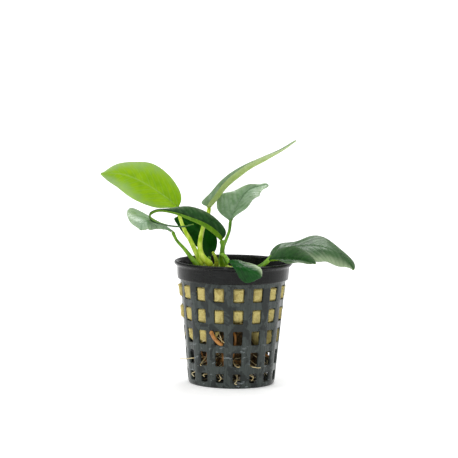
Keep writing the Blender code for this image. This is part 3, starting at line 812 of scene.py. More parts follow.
def pot_material():
    """Black moulded polypropylene with damp patches and faint upright drag marks, and painted light: a pale
    reflection on the wall below the band, wet glints on the lower bars and highlight streaks round the
    collar.
    """
    s = Shader("pot_plastic")
    streaks = s.noise(s.place((1.0, 1.0, 0.07)), 0.9, 4.0, 0.6)
    damp = s.ranged(s.noise(s.place((1.0, 1.0, 0.8)), 0.16, 4.0, 0.6, 0.6), 0.5, 0.56)
    scuffs = s.ranged(s.noise(s.place((1.0, 1.0, 0.3)), 1.6, 5.0, 0.7), 0.6, 0.75)
    height = s.parts(s.place())[2]
    below_band = s.ranged(height, BAND_FOOT - 0.5, BAND_FOOT, 1.0, 0.0)
    colour = s.mix(s.ranged(streaks, 0.35, 0.7), (0.0008, 0.001, 0.0009), (0.004, 0.005, 0.0045))
    # Painted reflection: the wall below the band is painted in streaks of a lighter blue-grey than the
    # collar, standing in for the pale room it reflects.
    painted_wall_reflection = s.times(below_band, s.ranged(streaks, 0.3, 0.6, 0.7, 1.0))
    colour = s.mix(s.times(painted_wall_reflection, 0.8), colour, (0.062, 0.076, 0.07))
    colour = s.mix(s.times(damp, 0.6), colour, (0.004, 0.005, 0.005))
    colour = s.mix(s.times(scuffs, 0.05), colour, (0.09, 0.095, 0.09))
    # Painted reflection: pale whitish patches on the lower bars, the glints of wet plastic painted into its
    # colour.
    painted_wet_glint = s.ranged(s.noise(s.place((1.0, 1.0, 2.4)), 0.3, 2.0), 0.62, 0.7)
    painted_wet_glint = s.times(painted_wet_glint, s.ranged(height, 10.0, 26.0, 1.0, 0.0))
    colour = s.mix(s.times(painted_wet_glint, 0.5), colour, (0.3, 0.34, 0.35))
    dry = s.ranged(streaks, 0.3, 0.7, 0.2, 0.34)
    rough = s.mix(damp, dry, (0.14, 0.14, 0.14))
    # Painted highlight: faint lighter streaks round the collar above the band, standing in for the lines of
    # light it reflects.
    rings = s.ranged(s.noise(s.place((0.12, 0.12, 1.0)), 2.4, 3.0), 0.52, 0.66)
    above_band = s.math("SUBTRACT", 1.0, below_band)
    rings = s.times(rings, above_band)
    colour = s.mix(s.times(rings, 0.25), colour, (0.03, 0.033, 0.03))
    s.bump(s.plus(s.times(damp, -0.5), s.times(streaks, 0.6)), 0.01)
    s.set(Base_Color=colour, Roughness=rough, Specular_IOR_Level=0.2)
    return s.material


def wool_material():
    s = Shader("rock_wool")
    tangle = s.noise(s.place((1.0, 1.0, 1.6)), 2.4, 6.0, 0.7, 1.5)
    fibres = s.noise(s.place((0.5, 0.5, 3.0)), 5.0, 4.0, 0.65, 2.0)
    patches = s.noise(s.place(), 0.22, 4.0, 0.6)
    sideways, _, height = s.parts(s.place())
    # Painted shade: the plug turns darker and browner towards its foot and underside, more so to the right.
    painted_shade_level = s.plus(height, s.times(patches, 14.0))
    painted_shade_level = s.math("SUBTRACT", painted_shade_level, s.times(sideways, 0.35))
    low = s.ranged(painted_shade_level, 24.0, 36.0, 1.0, 0.0)
    colour = s.mix(s.ranged(tangle, 0.3, 0.7), (0.62, 0.47, 0.1), (0.97, 0.86, 0.37))
    colour = s.mix(s.times(s.ranged(fibres, 0.5, 0.72), 0.6), colour, (0.85, 0.77, 0.42))
    colour = s.mix(s.times(s.ranged(patches, 0.5, 0.66), 0.55), colour, (0.4, 0.28, 0.07))
    colour = s.mix(s.times(low, 0.7), colour, (0.12, 0.09, 0.02))
    s.bump(s.plus(tangle, s.times(fibres, 0.7)), 0.6)
    s.set(Base_Color=colour, Roughness=0.9, Specular_IOR_Level=0.2)
    return s.material


# ---------------------------------------------------------------- leaves


def half_width(widths, s):
    """The smooth margin through the widths, which closes roundly at s = 0, the base, and 1, the tip."""
    knots = np.array([-widths[0], 0.0, *widths, 0.0, -widths[-1]])
    place = np.arccos(1 - 2 * s) / math.pi * (len(widths) + 1)
    first = np.clip(place.astype(int), 0, len(widths))
    four = (knots[first + shift] for shift in range(4))
    return np.maximum(curve(*four, place - first), 0.02)


def between(stages, s):
    """The blend of three directions along the blade: base, middle and tip."""
    base, middle, tip = (unit(np.array(stage, float)) for stage in stages)
    s = s[:, None]
    return base * (1 - s) * (1 - 2 * s) + middle * 4 * s * (1 - s) + tip * s * (2 * s - 1)


def blade_surface(leaf, s, across):
    """Points of the blade's middle surface, a row for each s and a column for each across."""
    line = smooth_line(leaf.midrib, MIDRIB_STEPS)
    along = np.linspace(0, 1, len(line))
    spine = read_at(s, along, line)
    tangent = unit(read_at(s, along, tangents(line)))
    height, number, start = leaf.wave
    points = np.zeros((len(s), len(across), 3))
    offsets = np.zeros((len(s), len(across)))
    for column, place in enumerate(across):
        left = place < 0
        side = between(leaf.left if left else leaf.right, s)
        side = unit(side - (side * tangent).sum(1, keepdims=True) * tangent)
        up = np.cross(tangent, side) if left else np.cross(side, tangent)
        reach = abs(place)
        width = half_width(leaf.left_widths if left else leaf.right_widths, s)
        side = side - tangent * (leaf.lobe * (1 - step(0.0, LOBE_END, s)))[:, None]
        ripple = height * np.sin(math.tau * (number * s + start + (0.25 if left else 0.0)))
        rise = (ripple - leaf.camber * width) * reach**2
        points[:, column] = spine + side * (width * reach)[:, None] + up * rise[:, None]
        offsets[:, column] = width * place
    return points, offsets, lengths_along(line)[-1]


def vein_phase(points, s, across, distance, length, number):
    """Where each point lies between side veins: a whole number on a vein, staggered between the halves."""
    run = VEIN_SLANT * distance + VEIN_CURVE * distance**2
    drift = 0.5 * bumps(points, 0.25, VEIN_SEED + number, 1)
    stagger = np.where(across < 0, 0.5, 0.0)[None, :]
    return (s[:, None] * length - run + drift) / VEIN_SPACING + stagger


def blade_faces(rows, columns):
    """Faces of two like grids of points, closed round their edges, and how many are on the first grid."""
    count = rows * columns
    top = grid_faces(rows, columns)
    bottom = [face[::-1] for face in grid_faces(rows, columns, count)]
    edge = []
    for row in range(rows - 1):
        for column, turn in ((0, 1), (columns - 1, -1)):
            a = row * columns + column
            edge.append([a, a + columns, a + columns + count, a + count][::turn])
    for column in range(columns - 1):
        for row, turn in ((0, -1), (rows - 1, 1)):
            a = row * columns + column
            edge.append([a, a + 1, a + 1 + count, a + count][::turn])
    return [face[::-1] for face in top + bottom + edge], len(top)


def add_leaf_blade(leaf, number, materials):
    """A blade with two faces, thinner to its margin, with veins and a midrib pressed into it."""
    rows, columns = BLADE_GRID
    s = 0.5 - 0.5 * np.cos(np.linspace(0.035, math.pi - 0.03, rows))
    spacing = np.linspace(-1, 1, columns)
    across = np.sin(spacing * math.pi / 2) * 0.45 + spacing * 0.55
    points, offsets, length = blade_surface(leaf, s, across)
    normal = unit(np.cross(np.gradient(points, axis=1), np.gradient(points, axis=0)))
    reach = np.abs(across)[None, :]
    distance = np.abs(offsets)
    phase = vein_phase(points, s, across, distance, length, number)
    from_vein = np.abs((phase + 0.5) % 1 - 0.5) * VEIN_SPACING
    fade = step(0.0, 0.2, reach) * (1 - step(0.75, 1.0, reach))
    veins = hump(from_vein, VEIN_WIDTH) * fade
    rib = 1 - 0.7 * s[:, None]
    keel = rib * hump(distance, 0.28 + 0.42 * rib)
    rim = np.sqrt(np.clip(1 - reach**10, 0, 1))
    half = BLADE_THICKNESS / 2 * (0.55 + 0.45 * (1 - reach**2)) * rim
    swell = SWELL * bumps(points, 0.32, SEED + number, 2) * (1 - 0.4 * reach)
    swell = swell + QUILT * np.sin(phase * math.tau) * fade
    sides = []
    for side, vein_depth, midrib_depth in zip((1, -1), VEIN_DEPTHS, MIDRIB_DEPTHS):
        rise = swell + side * half - rim * (vein_depth * veins + midrib_depth * keel)
        sides.append((points + normal * rise[..., None]).reshape(-1, 3))
    faces, upper = blade_faces(rows, columns)
    veins_map = np.stack([phase, offsets * 0.1], -1).reshape(-1, 2)
    blade_map = np.stack(np.broadcast_arrays(s[:, None], across[None, :] / 2 + 0.5), -1).reshape(-1, 2)
    return add_mesh(
        leaf.name + "_leaf",
        np.vstack(sides),
        faces,
        materials,
        [0] * upper + [1] * (len(faces) - upper),
        {"veins": np.vstack([veins_map] * 2), "blade": np.vstack([blade_map] * 2)},
    )


# ---------------------------------------------------------------- stalks and roots


def tube(line, radii, hint=(0, 0, 1), sides=18, section=None):
    """A closed tube round the line, with rounded ends: points, faces and (length, turn) pairs.

    section gives the radius's share for each turn and place along the tube.
    """
    rings = len(line)
    across, up = frames(line, hint)
    turn = np.linspace(0, math.tau, sides, endpoint=False)
    places = np.linspace(0, 1, rings)
    share = np.ones((rings, sides)) if section is None else section(places[:, None], turn[None, :])
    radius = np.asarray(radii)[:, None] * share
    points = (
        line[:, None]
        + across[:, None] * (np.cos(turn) * radius)[..., None]
        + up[:, None] * (np.sin(turn) * radius)[..., None]
    )
    faces = grid_faces(rings, sides, 0, True)
    ends = np.array([line[0], line[-1]])
    first = rings * sides
    faces += [[first, (j + 1) % sides, j] for j in range(sides)]
    last = first - sides
    faces += [[first + 1, last + j, last + (j + 1) % sides] for j in range(sides)]
    pairs = np.stack(np.broadcast_arrays(places[:, None], turn[None, :] / math.tau), -1).reshape(-1, 2)
    pairs = np.vstack([pairs, [[0, 0], [1, 0]]])
    return np.vstack([points.reshape(-1, 3), ends]), faces, pairs


def rounded(radii, line):
    """Radii that close in at the ends like a fingertip."""
    lengths = lengths_along(line)
    radii = np.array(radii)
    for distance, size in ((lengths, radii[0]), (lengths[-1] - lengths, radii[-1])):
        inside = np.clip(distance / size, 0, 1)
        radii = radii * np.sqrt(np.clip(1 - (1 - inside) ** 2, 0.02, 1))
    return radii


def add_tube(name, line, radii, material, hint=(0, 0, 1), sides=18, section=None):
    points, faces, pairs = tube(line, radii, hint, sides, section)
    return add_mesh(name, points, faces, [material], None, {"stem": pairs})


def add_petiole(leaf, material):
    """A stalk with a channel down its upper side, a clasping foot and a slight swelling under the blade."""
    foot = np.array(leaf.petiole[0], float)
    below = foot - 2.2 * unit(np.array(leaf.petiole[1], float) - foot)
    knots = [below, *leaf.petiole, leaf.midrib[0]]
    line = smooth_line(knots, 64)
    places = np.linspace(0, 1, len(line))
    low, high = leaf.petiole_radii
    size = low + (high - low) * step(0.0, 0.8, places)
    size = size * (1 + 0.25 * (1 - step(0.0, 0.3, places)))
    size = size * (1 + 0.12 * hump(places - 0.93, 0.05))
    size = size * (1 - 0.35 * step(0.95, 1.0, places))

    def channel(along, turn):
        depth = 0.22 * (1 - step(0.35, 0.85, along)) + 0.06
        return 1 - depth * hump(turn - math.pi / 2, 0.55)

    return add_tube(leaf.name + "_stalk", line, rounded(size, line), material, (0.6, 0.4, 0.1), 22, channel)


def add_rhizome(material):
    line = smooth_line(RHIZOME_LINE, 110)
    places = np.linspace(0, 1, len(line))

    def scars(along, turn):
        rings = hump((along * 9 + 0.5) % 1 - 0.5, 0.12)
        lumps = 0.05 * np.sin(3 * turn + 11 * along) + 0.05 * np.sin(5 * turn - 17 * along)
        return 1 + 0.07 * rings + lumps

    return add_tube(
        "rhizome_body", line, rounded(spread(RHIZOME_RADII, places), line), material, (0, 0, 1), 40, scars
    )


def add_stub(material):
    line = smooth_line(STUB_LINE, 30)
    radii = spread(STUB_RADII, np.linspace(0, 1, len(line)))

    def torn(along, turn):
        return 1 + 0.16 * np.sin(3 * turn + 6 * along) * along + 0.1 * np.sin(7 * turn)

    return add_tube("cut_stub_end", line, rounded(radii, line), material, (1, 0, 0), 18, torn)


def slit_place(number):
    """Where a root runs down the slit: one in the middle and the others in a ring around it."""
    centre = np.array((*SLIT_CENTRE, 0.0))
    if number == 0:
        return centre
    return centre + around(360 * number / (len(ROOTS) - 1), SLIT_RING, 0.0)


def add_root(number, radius, end_share, route, material):
    down = [slit_place(number) + np.array((0, 0, height)) for height in SLIT_HEIGHTS]
    line = smooth_line(down + [around(*place) for place in route], 120)
    line = wander(line, 0.12, 0.5, ROOT_LINE_SEED + number * 3)
    places = np.linspace(0, 1, len(line))
    taper = 1 - (1 - end_share) * step(0.6, 1.0, places)
    radii = radius * taper * (1 + 0.06 * bumps(line, 1.2, ROOT_SIZE_SEED + number, 2))
    return add_tube(f"root_{number + 1}_skin", line, rounded(radii, line), material, (0.3, 1, 0.2), 12)


def add_root_mat(material):
    """The dark matted core of the root ball, from under the plug nearly to the pot's floor."""
    heights = np.linspace(*MAT_HEIGHTS, MAT_GRID[0])
    angles = np.linspace(0, 360, MAT_GRID[1], endpoint=False)
    grid = []
    for height in heights:
        place = (height - heights[0]) / (heights[-1] - heights[0])
        radius = MAT_RADIUS * (1 - 0.25 * (1 - place) ** 2) * math.sqrt(max(1 - (2 * place - 1) ** 10, 0.02))
        grid.append(around(angles, radius, height))
    grid = np.array(grid)
    outward = unit(grid * (1, 1, 0))
    strands = np.abs(bumps(grid * (1, 1, 0.45), 0.9, MAT_SEED, 3))
    grid = grid + outward * (1.5 * bumps(grid, 0.25, MAT_SEED + 1, 2) - 1.3 * strands)[..., None]
    faces = grid_faces(len(heights), len(angles), 0, True)
    last = (len(heights) - 1) * len(angles)
    faces.append(list(range(len(angles)))[::-1])
    faces.append([last + index for index in range(len(angles))])
    return add_mesh("root_mat", grid.reshape(-1, 3), faces, [material])


def mat_material():
    s = Shader("root_mat")
    strands = s.noise(s.place((1.0, 1.0, 0.4)), 1.6, 6.0, 0.7, 2.0)
    patches = s.noise(s.place(), 0.3, 4.0, 0.6)
    colour = s.mix(s.ranged(strands, 0.35, 0.7), (0.015, 0.01, 0.003), (0.13, 0.075, 0.018))
    colour = s.mix(s.ranged(patches, 0.52, 0.68, 0.0, 0.7), colour, (0.42, 0.21, 0.045))
    s.bump(strands, 0.5)
    s.set(Base_Color=colour, Roughness=0.6, Specular_IOR_Level=0.3)
    return s.material


def add_fine_roots(material):
    """The pale roots in the windows and a loose tangle of hair roots in the foot of the pot, as one mesh."""
    draw = random.Random(SEED)
    routes = [[around(*place) for place in route] for route in FINE_ROOTS]
    sizes = [ROOT_RADIUS] * len(routes)
    for _ in range(HAIR_ROOTS):
        angle, radius, height = draw.uniform(-180, 180), draw.uniform(3, 11), draw.uniform(13, 20)
        route = []
        for _ in range(6):
            route.append(around(angle, min(radius, HAIR_SPREAD), max(height, 2.4)))
            angle += draw.uniform(-28, 28)
            radius += draw.uniform(-0.5, 3.2)
            height -= draw.uniform(0.6, 3.8)
        routes.append(route)
        sizes.append(draw.uniform(0.1, 0.26))
    pieces, pairs = [], []
    for number, (route, size) in enumerate(zip(routes, sizes)):
        line = wander(smooth_line(route, 34), 0.2, 0.8, HAIR_SEED + number * 3)
        radii = size * (1 - 0.55 * np.linspace(0, 1, len(line)))
        points, faces, marks = tube(line, rounded(radii, line), (0.2, 0.3, 1), 7)
        pieces.append((points, faces))
        pairs.append(marks)
    return add_mesh("fine_roots", *joined(pieces), [material], None, {"stem": np.vstack(pairs)})


# ---------------------------------------------------------------- pot


def wall_radius(height):
    """The wall's outer radius, from the foot to the band."""
    return WALL_FOOT_RADIUS + (WALL_TOP_RADIUS - WALL_FOOT_RADIUS) * height / BAND_FOOT


def square_loop():
    """Points round a square from -1 to 1, closer together by the corners."""
    steps = np.array(SIDE_STEPS)
    one = np.ones(len(steps))
    sides = ((steps, -one), (one, steps), (-steps, one), (-one, -steps))
    return np.vstack([np.stack(side, 1) for side in sides])


def rounded_loop(loop, half_x, half_y, corner):
    """The square's points moved on to a rectangle with round corners."""
    flat = loop * (half_x, half_y)
    inner = np.clip(flat, (corner - half_x, corner - half_y), (half_x - corner, half_y - corner))
    return inner + corner * unit(flat - inner)


def window_cell(loop, row):
    """Loops of (share of the column's width, height, depth) that make one window with its frame."""
    top, height = ROW_TOPS[row], WINDOW_HEIGHTS[row]
    middle = top - height / 2
    column_width = math.tau * wall_radius(middle) / COLUMNS
    half_x, half_y = (column_width - POST_WIDTH) / 2, height / 2
    upper, lower = CELL_EDGES[row], CELL_EDGES[row + 1]
    outer = loop * (column_width / 2, (upper - lower) / 2) + (0, (upper + lower) / 2)
    hole = []
    for depth, grow in (
        (0.0, EDGE_ROUNDING), (0.05, EDGE_ROUNDING * 0.45), (0.18, 0.08), (0.4, 0.0),
        (WALL - 0.3, 0.0), (WALL - 0.1, 0.07), (WALL, EDGE_ROUNDING),
    ):
        edge = rounded_loop(loop, half_x + grow, half_y + grow, WINDOW_CORNER + grow) + (0, middle)
        hole.append((edge, depth))
    face, back = hole[0][0], hole[-1][0]
    strips = [(outer, 0.0), (outer * 0.5 + face * 0.5, 0.0), (outer * 0.12 + face * 0.88, 0.0)]
    strips += [*hole, (outer * 0.3 + back * 0.7, WALL), (outer, WALL)]
    cell = np.array([np.column_stack([ring, np.full(len(ring), depth)]) for ring, depth in strips])
    cell[..., 0] /= column_width / 2
    return cell


def wall_points(angle_share, height, depth, column):
    """Bends a cell on to the pot: posts stand a little prouder than the bars between the windows."""
    radius = wall_radius(height) - depth
    bar = 1 - step(0.42, 0.62, np.abs(angle_share))
    inside = step(0.0, 1.2, height - 2.0) * (1 - step(42.6, 44.0, height))
    radius = radius - POST_RELIEF * bar * inside * (1 - depth / WALL)
    angle = COLUMN_TURN + (column + angle_share / 2) * 360 / COLUMNS
    return around(angle, radius, height)


def turned(profile, angles):
    """A turned shape: the profile's (radius, height) points carried round the axis."""
    points = np.stack([around(angles, radius, height) for radius, height in profile])
    return points.reshape(-1, 3), grid_faces(len(profile), len(angles), 0, True)


def arc(centre, radius, start, end, count):
    turn = np.radians(np.linspace(start, end, count))
    return [(centre[0] + radius * math.cos(a), centre[1] + radius * math.sin(a)) for a in turn]


def collar_profile():
    """The collar and rolled rim, from the wall's outside up over the lip and down to the wall's inside."""
    lip = (RIM_RADIUS - LIP_RADIUS, POT_HEIGHT - LIP_RADIUS)
    outside = [
        (wall_radius(CELL_EDGES[0]), CELL_EDGES[0]),
        (WALL_TOP_RADIUS + 0.12, BAND_FOOT - 0.06),
        *arc((BAND_FOOT_RADIUS - 0.4, BAND_FOOT + 0.4), 0.4, -85, 0, 6),
        (BAND_FOOT_RADIUS + 0.07, BAND_FOOT + 1.4),
        (BAND_FOOT_RADIUS + 0.22, BAND_FOOT + 3.4),
        (BAND_TOP_RADIUS - 0.12, POT_HEIGHT - 2.7),
        (BAND_TOP_RADIUS - 0.04, POT_HEIGHT - 2.1),
    ]
    inside = [
        (BAND_TOP_RADIUS - WALL + 0.62, POT_HEIGHT - 0.2),
        (BAND_TOP_RADIUS - WALL + 0.35, POT_HEIGHT - 0.6),
        (BAND_TOP_RADIUS - WALL + 0.05, POT_HEIGHT - 1.6),
        (BAND_FOOT_RADIUS - WALL + 0.1, BAND_FOOT + 1.6),
        (BAND_FOOT_RADIUS - WALL - 0.1, BAND_FOOT + 1.0),
        (WALL_TOP_RADIUS - WALL + 0.1, BAND_FOOT + 0.2),
        (wall_radius(CELL_EDGES[0]) - WALL, CELL_EDGES[0]),
    ]
    return outside + arc(lip, LIP_RADIUS, -70, 90, 14) + inside


def foot_profile():
    """The foot, from the wall's inside down round the outer edge, with a shallow ring under it."""
    low = CELL_EDGES[-1]
    return [
        (wall_radius(low) - WALL, low),
        (WALL_FOOT_RADIUS - WALL - 0.2, FLOOR_HEIGHT - 0.1),
        (WALL_FOOT_RADIUS - WALL - 1.2, FLOOR_HEIGHT - 0.2),
        (WALL_FOOT_RADIUS - WALL - 1.2, 0.35),
        (WALL_FOOT_RADIUS - 1.7, 0.0),
        *arc((WALL_FOOT_RADIUS - 1.0, 1.0), 1.0, -90, 0, 7),
        (wall_radius(low), low),
    ]


def floor_plate(loop, angles):
    """The pot's floor: eight slotted sectors round a plain middle."""
    inner, outer = FLOOR_HUB, WALL_FOOT_RADIUS - WALL - 1.0
    low, high = FLOOR_UNDERSIDE, FLOOR_HEIGHT
    middle = FLOOR_SLOT_START + FLOOR_SLOT[0] / 2
    hole = rounded_loop(loop, FLOOR_SLOT[1] / 2, FLOOR_SLOT[0] / 2, FLOOR_SLOT_CORNER) + (0, middle)
    sector = 360 / FLOOR_SLOTS
    points, faces = [], []
    for number in range(FLOOR_SLOTS):
        turn = COLUMN_TURN - 90 + sector * (number + 0.5)
        radius = (inner + outer) / 2 + loop[:, 1] * (outer - inner) / 2
        edge = around(turn + loop[:, 0] * sector / 2, radius, 0.0)
        slot = around(turn, hole[:, 1], 0.0) + hole[:, :1] * around(turn + 90, 1.0, 0.0)
        rings = [edge + (0, 0, high), slot + (0, 0, high), slot + (0, 0, low), edge + (0, 0, low)]
        faces += [face[::-1] for face in grid_faces(4, len(loop), len(points) * len(loop), True)]
        points += rings
    points = np.vstack(points)
    rim = around(angles, inner + 0.02, 0.0)
    start = len(points)
    plug = np.vstack([rim + (0, 0, high), rim + (0, 0, low)])
    count = len(rim)
    faces.append([start + i for i in range(count)])
    faces.append([start + count + i for i in range(count)][::-1])
    return np.vstack([points, plug]), faces


def add_pot(material):
    loop = square_loop()
    steps = np.array(SIDE_STEPS)
    columns = np.arange(COLUMNS)[:, None]
    angles = (COLUMN_TURN + (columns + steps / 2) * 360 / COLUMNS).ravel()
    pieces = []
    for column in range(COLUMNS):
        for row in range(len(ROW_TOPS)):
            cell = window_cell(loop, row)
            bent = wall_points(cell[..., 0], cell[..., 1], cell[..., 2], column)
            pieces.append((bent.reshape(-1, 3), grid_faces(len(cell), len(loop), 0, True)))
    pieces += [turned(profile, angles) for profile in (collar_profile(), foot_profile())]
    pieces.append(floor_plate(loop, angles))
    obj = add_mesh("net_pot_shell", *joined(pieces), [material])
    tidy_mesh(obj, 0.004)
    return obj


def tidy_mesh(obj, distance):
    """Joins points that lie together and turns all faces outwards."""
    bm = bmesh.new()
    bm.from_mesh(obj.data)
    bmesh.ops.remove_doubles(bm, verts=bm.verts, dist=distance * MM)
    bmesh.ops.recalc_face_normals(bm, faces=bm.faces)
    bm.to_mesh(obj.data)
    bm.free()


# ---------------------------------------------------------------- rock wool


def wool_foot(angle):
    """The height of the plug's ragged underside at angles from the front."""
    slope = WOOL_FOOT - WOOL_SLOPE * np.sin(np.radians(angle))
    off = turn_from(WOOL_ARCH_ANGLE, angle)
    return slope + WOOL_ARCH * np.exp(-((off / WOOL_ARCH_SPREAD) ** 4))


def window_fill(angle, height):
    """1 in the middle of a window and 0 behind the posts and bars."""
    share = np.abs(((angle - COLUMN_TURN) * COLUMNS / 360 + 0.5) % 1 - 0.5) * 2
    total = np.zeros_like(height)
    for top, tall in zip(ROW_TOPS, WINDOW_HEIGHTS):
        middle = top - tall / 2
        open_share = 1 - POST_WIDTH * COLUMNS / (math.tau * wall_radius(middle))
        off = np.abs(height - middle) / (tall / 2)
        total = total + (1 - step(0.78, 1.0, off)) * (1 - step(0.8 * open_share, 1.02 * open_share, share))
    return total


def plug_column(angle):
    """Points down one side of the plug: over the top, down the outside, under it and back up the slit."""
    foot = wool_foot(angle)
    slit = np.array((*SLIT_CENTRE, 0.0)) + around(angle, SLIT_RADIUS, 0.0)
    heights = np.linspace(WOOL_TOP, foot, WOOL_GRID[1])
    radius = wall_radius(heights) - WALL - WOOL_GAP
    radius = radius - 1.2 * step(WOOL_TOP - 1.0, WOOL_TOP, heights)
    radius = radius - 1.5 * (1 - step(foot, foot + 1.6, heights))
    bulge = WOOL_BULGE
    for middle, width, more in WOOL_SIDE_BULGES:
        bulge = bulge + more * hump(turn_from(middle, angle), width) * step(26.0, 28.0, heights)
    angles = np.full(len(heights), angle)
    side = around(angles, radius + window_fill(angles, heights) * bulge, heights)
    top = slit + np.array((0, 0, WOOL_TOP))
    under = slit + np.array((0, 0, WOOL_HOLLOW))
    steps = np.linspace(0, 1, 14)[:, None]
    lid = top + (side[0] - top) * steps[:-1]
    cup = side[-1] + (under - side[-1]) * steps[1:-1]
    bore = under + (top - under) * np.linspace(0, 1, 10)[:-1, None]
    return np.vstack([lid, side, cup, bore])


def add_wool(material):
    """The plug: its outer face swells into the windows, most at the left, and its underside is ragged."""
    count = WOOL_GRID[0]
    grid = np.array([plug_column(360 * number / count) for number in range(count)])
    rough = 0.16 * bumps(grid, 1.1, WOOL_SEED, 3) + 0.09 * bumps(grid, 4.5, WOOL_SEED + 1, 2)
    grid = grid + unit(grid * (1, 1, 0)) * rough[..., None]
    ragged = step(WOOL_FOOT + 18, WOOL_FOOT - 2, grid[..., 2])
    grid[..., 2] += ragged * 0.9 * bumps(grid * (1, 1, 0.2), 0.9, WOOL_SEED + 3, 3)
    rows, across = grid.shape[:2]
    faces = grid_faces(rows, across, 0, True)
    last = (rows - 1) * across
    faces += [[last + j, last + (j + 1) % across, (j + 1) % across, j] for j in range(across)]
    return add_mesh("rock_wool_plug", grid.reshape(-1, 3), faces, [material])


def add_fibres(material):
    """Loose fibres that stand off the plug in the windows, as one mesh."""
    draw = random.Random(SEED + 1)
    pieces = []
    for _ in range(FIBRES):
        column = draw.randrange(COLUMNS)
        row = draw.choice((0, 0, 0, 1, 1, 1, 2))
        angle = COLUMN_TURN + column * 360 / COLUMNS + draw.uniform(-5.6, 5.6)
        height = ROW_TOPS[row] - draw.uniform(0.2, WINDOW_HEIGHTS[row] - 0.1)
        if height < wool_foot(angle) + 1:
            continue
        radius = wall_radius(height) - draw.uniform(0.25, 0.75)
        place = around(angle, radius, height)
        aim = unit(np.array([draw.gauss(0, 1), draw.gauss(0, 1), draw.gauss(0, 0.7)]))
        bend = unit(np.array([draw.gauss(0, 1), draw.gauss(0, 1), draw.gauss(0, 1)]))
        length = draw.uniform(0.8, 2.2)
        t = np.linspace(-0.5, 0.5, 6)[:, None]
        line = place + aim * length * t + bend * length * 0.8 * (t**2 - 0.08)
        outside = np.linalg.norm(line[:, :2], axis=1) > wall_radius(line[:, 2]) - 0.05
        if outside.any():
            continue
        pieces.append(tube(line, np.full(len(line), FIBRE_RADIUS), aim[[1, 2, 0]], 4)[:2])
    return add_mesh("wool_fibres", *joined(pieces), [material])


# ---------------------------------------------------------------- stage

FLOOR_SIZE = 200.0  # in metres, so that no edge of it shows
FLOOR_GLOW = 0.2
WORLD_STRENGTH = 1.25
WORLD_STEPS = ((0.06, 0.8), (0.14, 0.3), (0.45, 0.32), (0.75, 0.8), (0.9, 1.0))  # upward part, brightness
SUNS = (
    ("back_light", (0.15, 0.5, 1.0), 0.9, 26),
    ("left_light", (-0.9, -0.35, 0.9), 0.5, 20),
    ("front_light", (-0.3, -1.0, 0.6), 0.25, 7),
)
CAMERA_PLACE = (-2.0, -1000.0, 164.8)
CAMERA_AIM = (-2.0, 0.0, 65.4)
CAMERA_ROLL = 0.9
CAMERA_LENS = 186.8
SENSOR = 36.0


def add_camera():
    data = bpy.data.cameras.new("camera")
    data.lens = CAMERA_LENS
    data.sensor_width = SENSOR
    data.clip_start = 0.05
    data.clip_end = 2.5 * FLOOR_SIZE
    camera = add_object("camera", data)
    place, aim = Vector(CAMERA_PLACE) * MM, Vector(CAMERA_AIM) * MM
    look = (aim - place).to_track_quat("-Z", "Y").to_matrix().to_4x4()
    roll = Matrix.Rotation(math.radians(CAMERA_ROLL), 4, "Z")
    camera.matrix_world = Matrix.Translation(place) @ look @ roll
    bpy.context.scene.camera = camera


def add_world():
    """A white room: a bright ceiling, a white strip at the horizon and dimmer walls between them."""
    world = bpy.data.worlds.new("studio")
    world.use_nodes = True
    nodes, links = world.node_tree.nodes, world.node_tree.links
    direction = nodes.new("ShaderNodeTexCoord")
    split = nodes.new("ShaderNodeSeparateXYZ")
    ramp = nodes.new("ShaderNodeValToRGB")
    links.new(direction.outputs["Generated"], split.inputs[0])
    links.new(split.outputs[2], ramp.inputs[0])
    background = nodes["Background"]
    links.new(ramp.outputs[0], background.inputs["Color"])
    background.inputs["Strength"].default_value = WORLD_STRENGTH
    ramp.color_ramp.elements.remove(ramp.color_ramp.elements[1])
    ramp.color_ramp.elements[0].position = 0.0
    ramp.color_ramp.elements[0].color = (1 / WORLD_STRENGTH,) * 3 + (1.0,)
    for height, brightness in WORLD_STEPS:
        element = ramp.color_ramp.elements.new(height)
        element.color = (brightness, brightness, brightness, 1.0)
    bpy.context.scene.world = world


def add_sun(name, direction, strength, spread_angle):
    data = bpy.data.lights.new(name, "SUN")
    data.energy = strength
    data.angle = math.radians(spread_angle)
    light = add_object(name, data)
    light.rotation_euler = Vector(direction).to_track_quat("Z", "Y").to_euler()


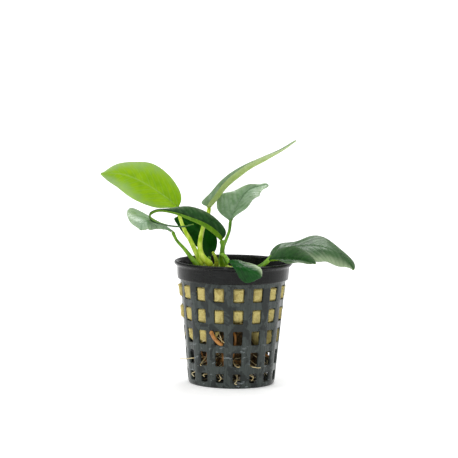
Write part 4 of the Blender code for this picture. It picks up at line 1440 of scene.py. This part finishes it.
def add_stage():
    mesh = bpy.data.meshes.new("floor")
    corners = [(FLOOR_SIZE * x, FLOOR_SIZE * y, 0) for x, y in ((-1, -1), (1, -1), (1, 1), (-1, 1))]
    mesh.from_pydata(corners, [], [(0, 1, 2, 3)])
    floor = add_object("floor", mesh)
    s = Shader("floor_white")
    s.set(Base_Color=(0.95, 0.95, 0.95), Roughness=0.9, Specular_IOR_Level=0.0)
    s.set(Emission_Color=(1.0, 1.0, 1.0), Emission_Strength=FLOOR_GLOW)
    mesh.materials.append(s.material)
    add_world()
    for sun in SUNS:
        add_sun(*sun)
    view = bpy.context.scene.view_settings
    view.view_transform = "Standard"
    view.look = "None"


# ---------------------------------------------------------------- all of it


def add_leaves():
    blades = {
        look: [blade_material(look + "_" + side, face) for side, face in zip(("upper", "lower"), faces)]
        for look, faces in BLADES.items()
    }
    stalks = {name: stem_material(name, *colours) for name, colours in STALKS.items()}
    for number, leaf in enumerate(LEAVES):
        blade = add_leaf_blade(leaf, number, blades[leaf.look])
        slot = "leaf_young" if leaf.look == "leaf_young" else "leaf_mature"
        keep(blade, slot, leaf.name + "_blade")
        keep(add_petiole(leaf, stalks[leaf.stalk_look]), leaf.stalk_look, leaf.name + "_petiole")


def add_roots():
    brown = root_material("root_brown", (0.56, 0.24, 0.04), (0.26, 0.1, 0.015))
    pale = root_material("root_pale", (0.85, 0.76, 0.48), (0.5, 0.36, 0.12))
    for number, (radius, end_share, route) in enumerate(ROOTS):
        keep(add_root(number, radius, end_share, route, brown), "root_brown", f"root_{number + 1}")
    keep(add_fine_roots(pale), "root_brown")
    keep(add_root_mat(mat_material()), "root_brown")


def main():
    add_camera()
    add_stage()
    keep(add_pot(pot_material()), "pot_plastic", "net_pot")
    wool = wool_material()
    keep(add_wool(wool), "rock_wool", "rock_wool")
    keep(add_fibres(wool), "rock_wool")
    rhizome = rhizome_material()
    keep(add_rhizome(rhizome), "rhizome_skin", "rhizome")
    keep(add_stub(rhizome), "rhizome_skin", "cut_stub")
    add_leaves()
    add_roots()


main()
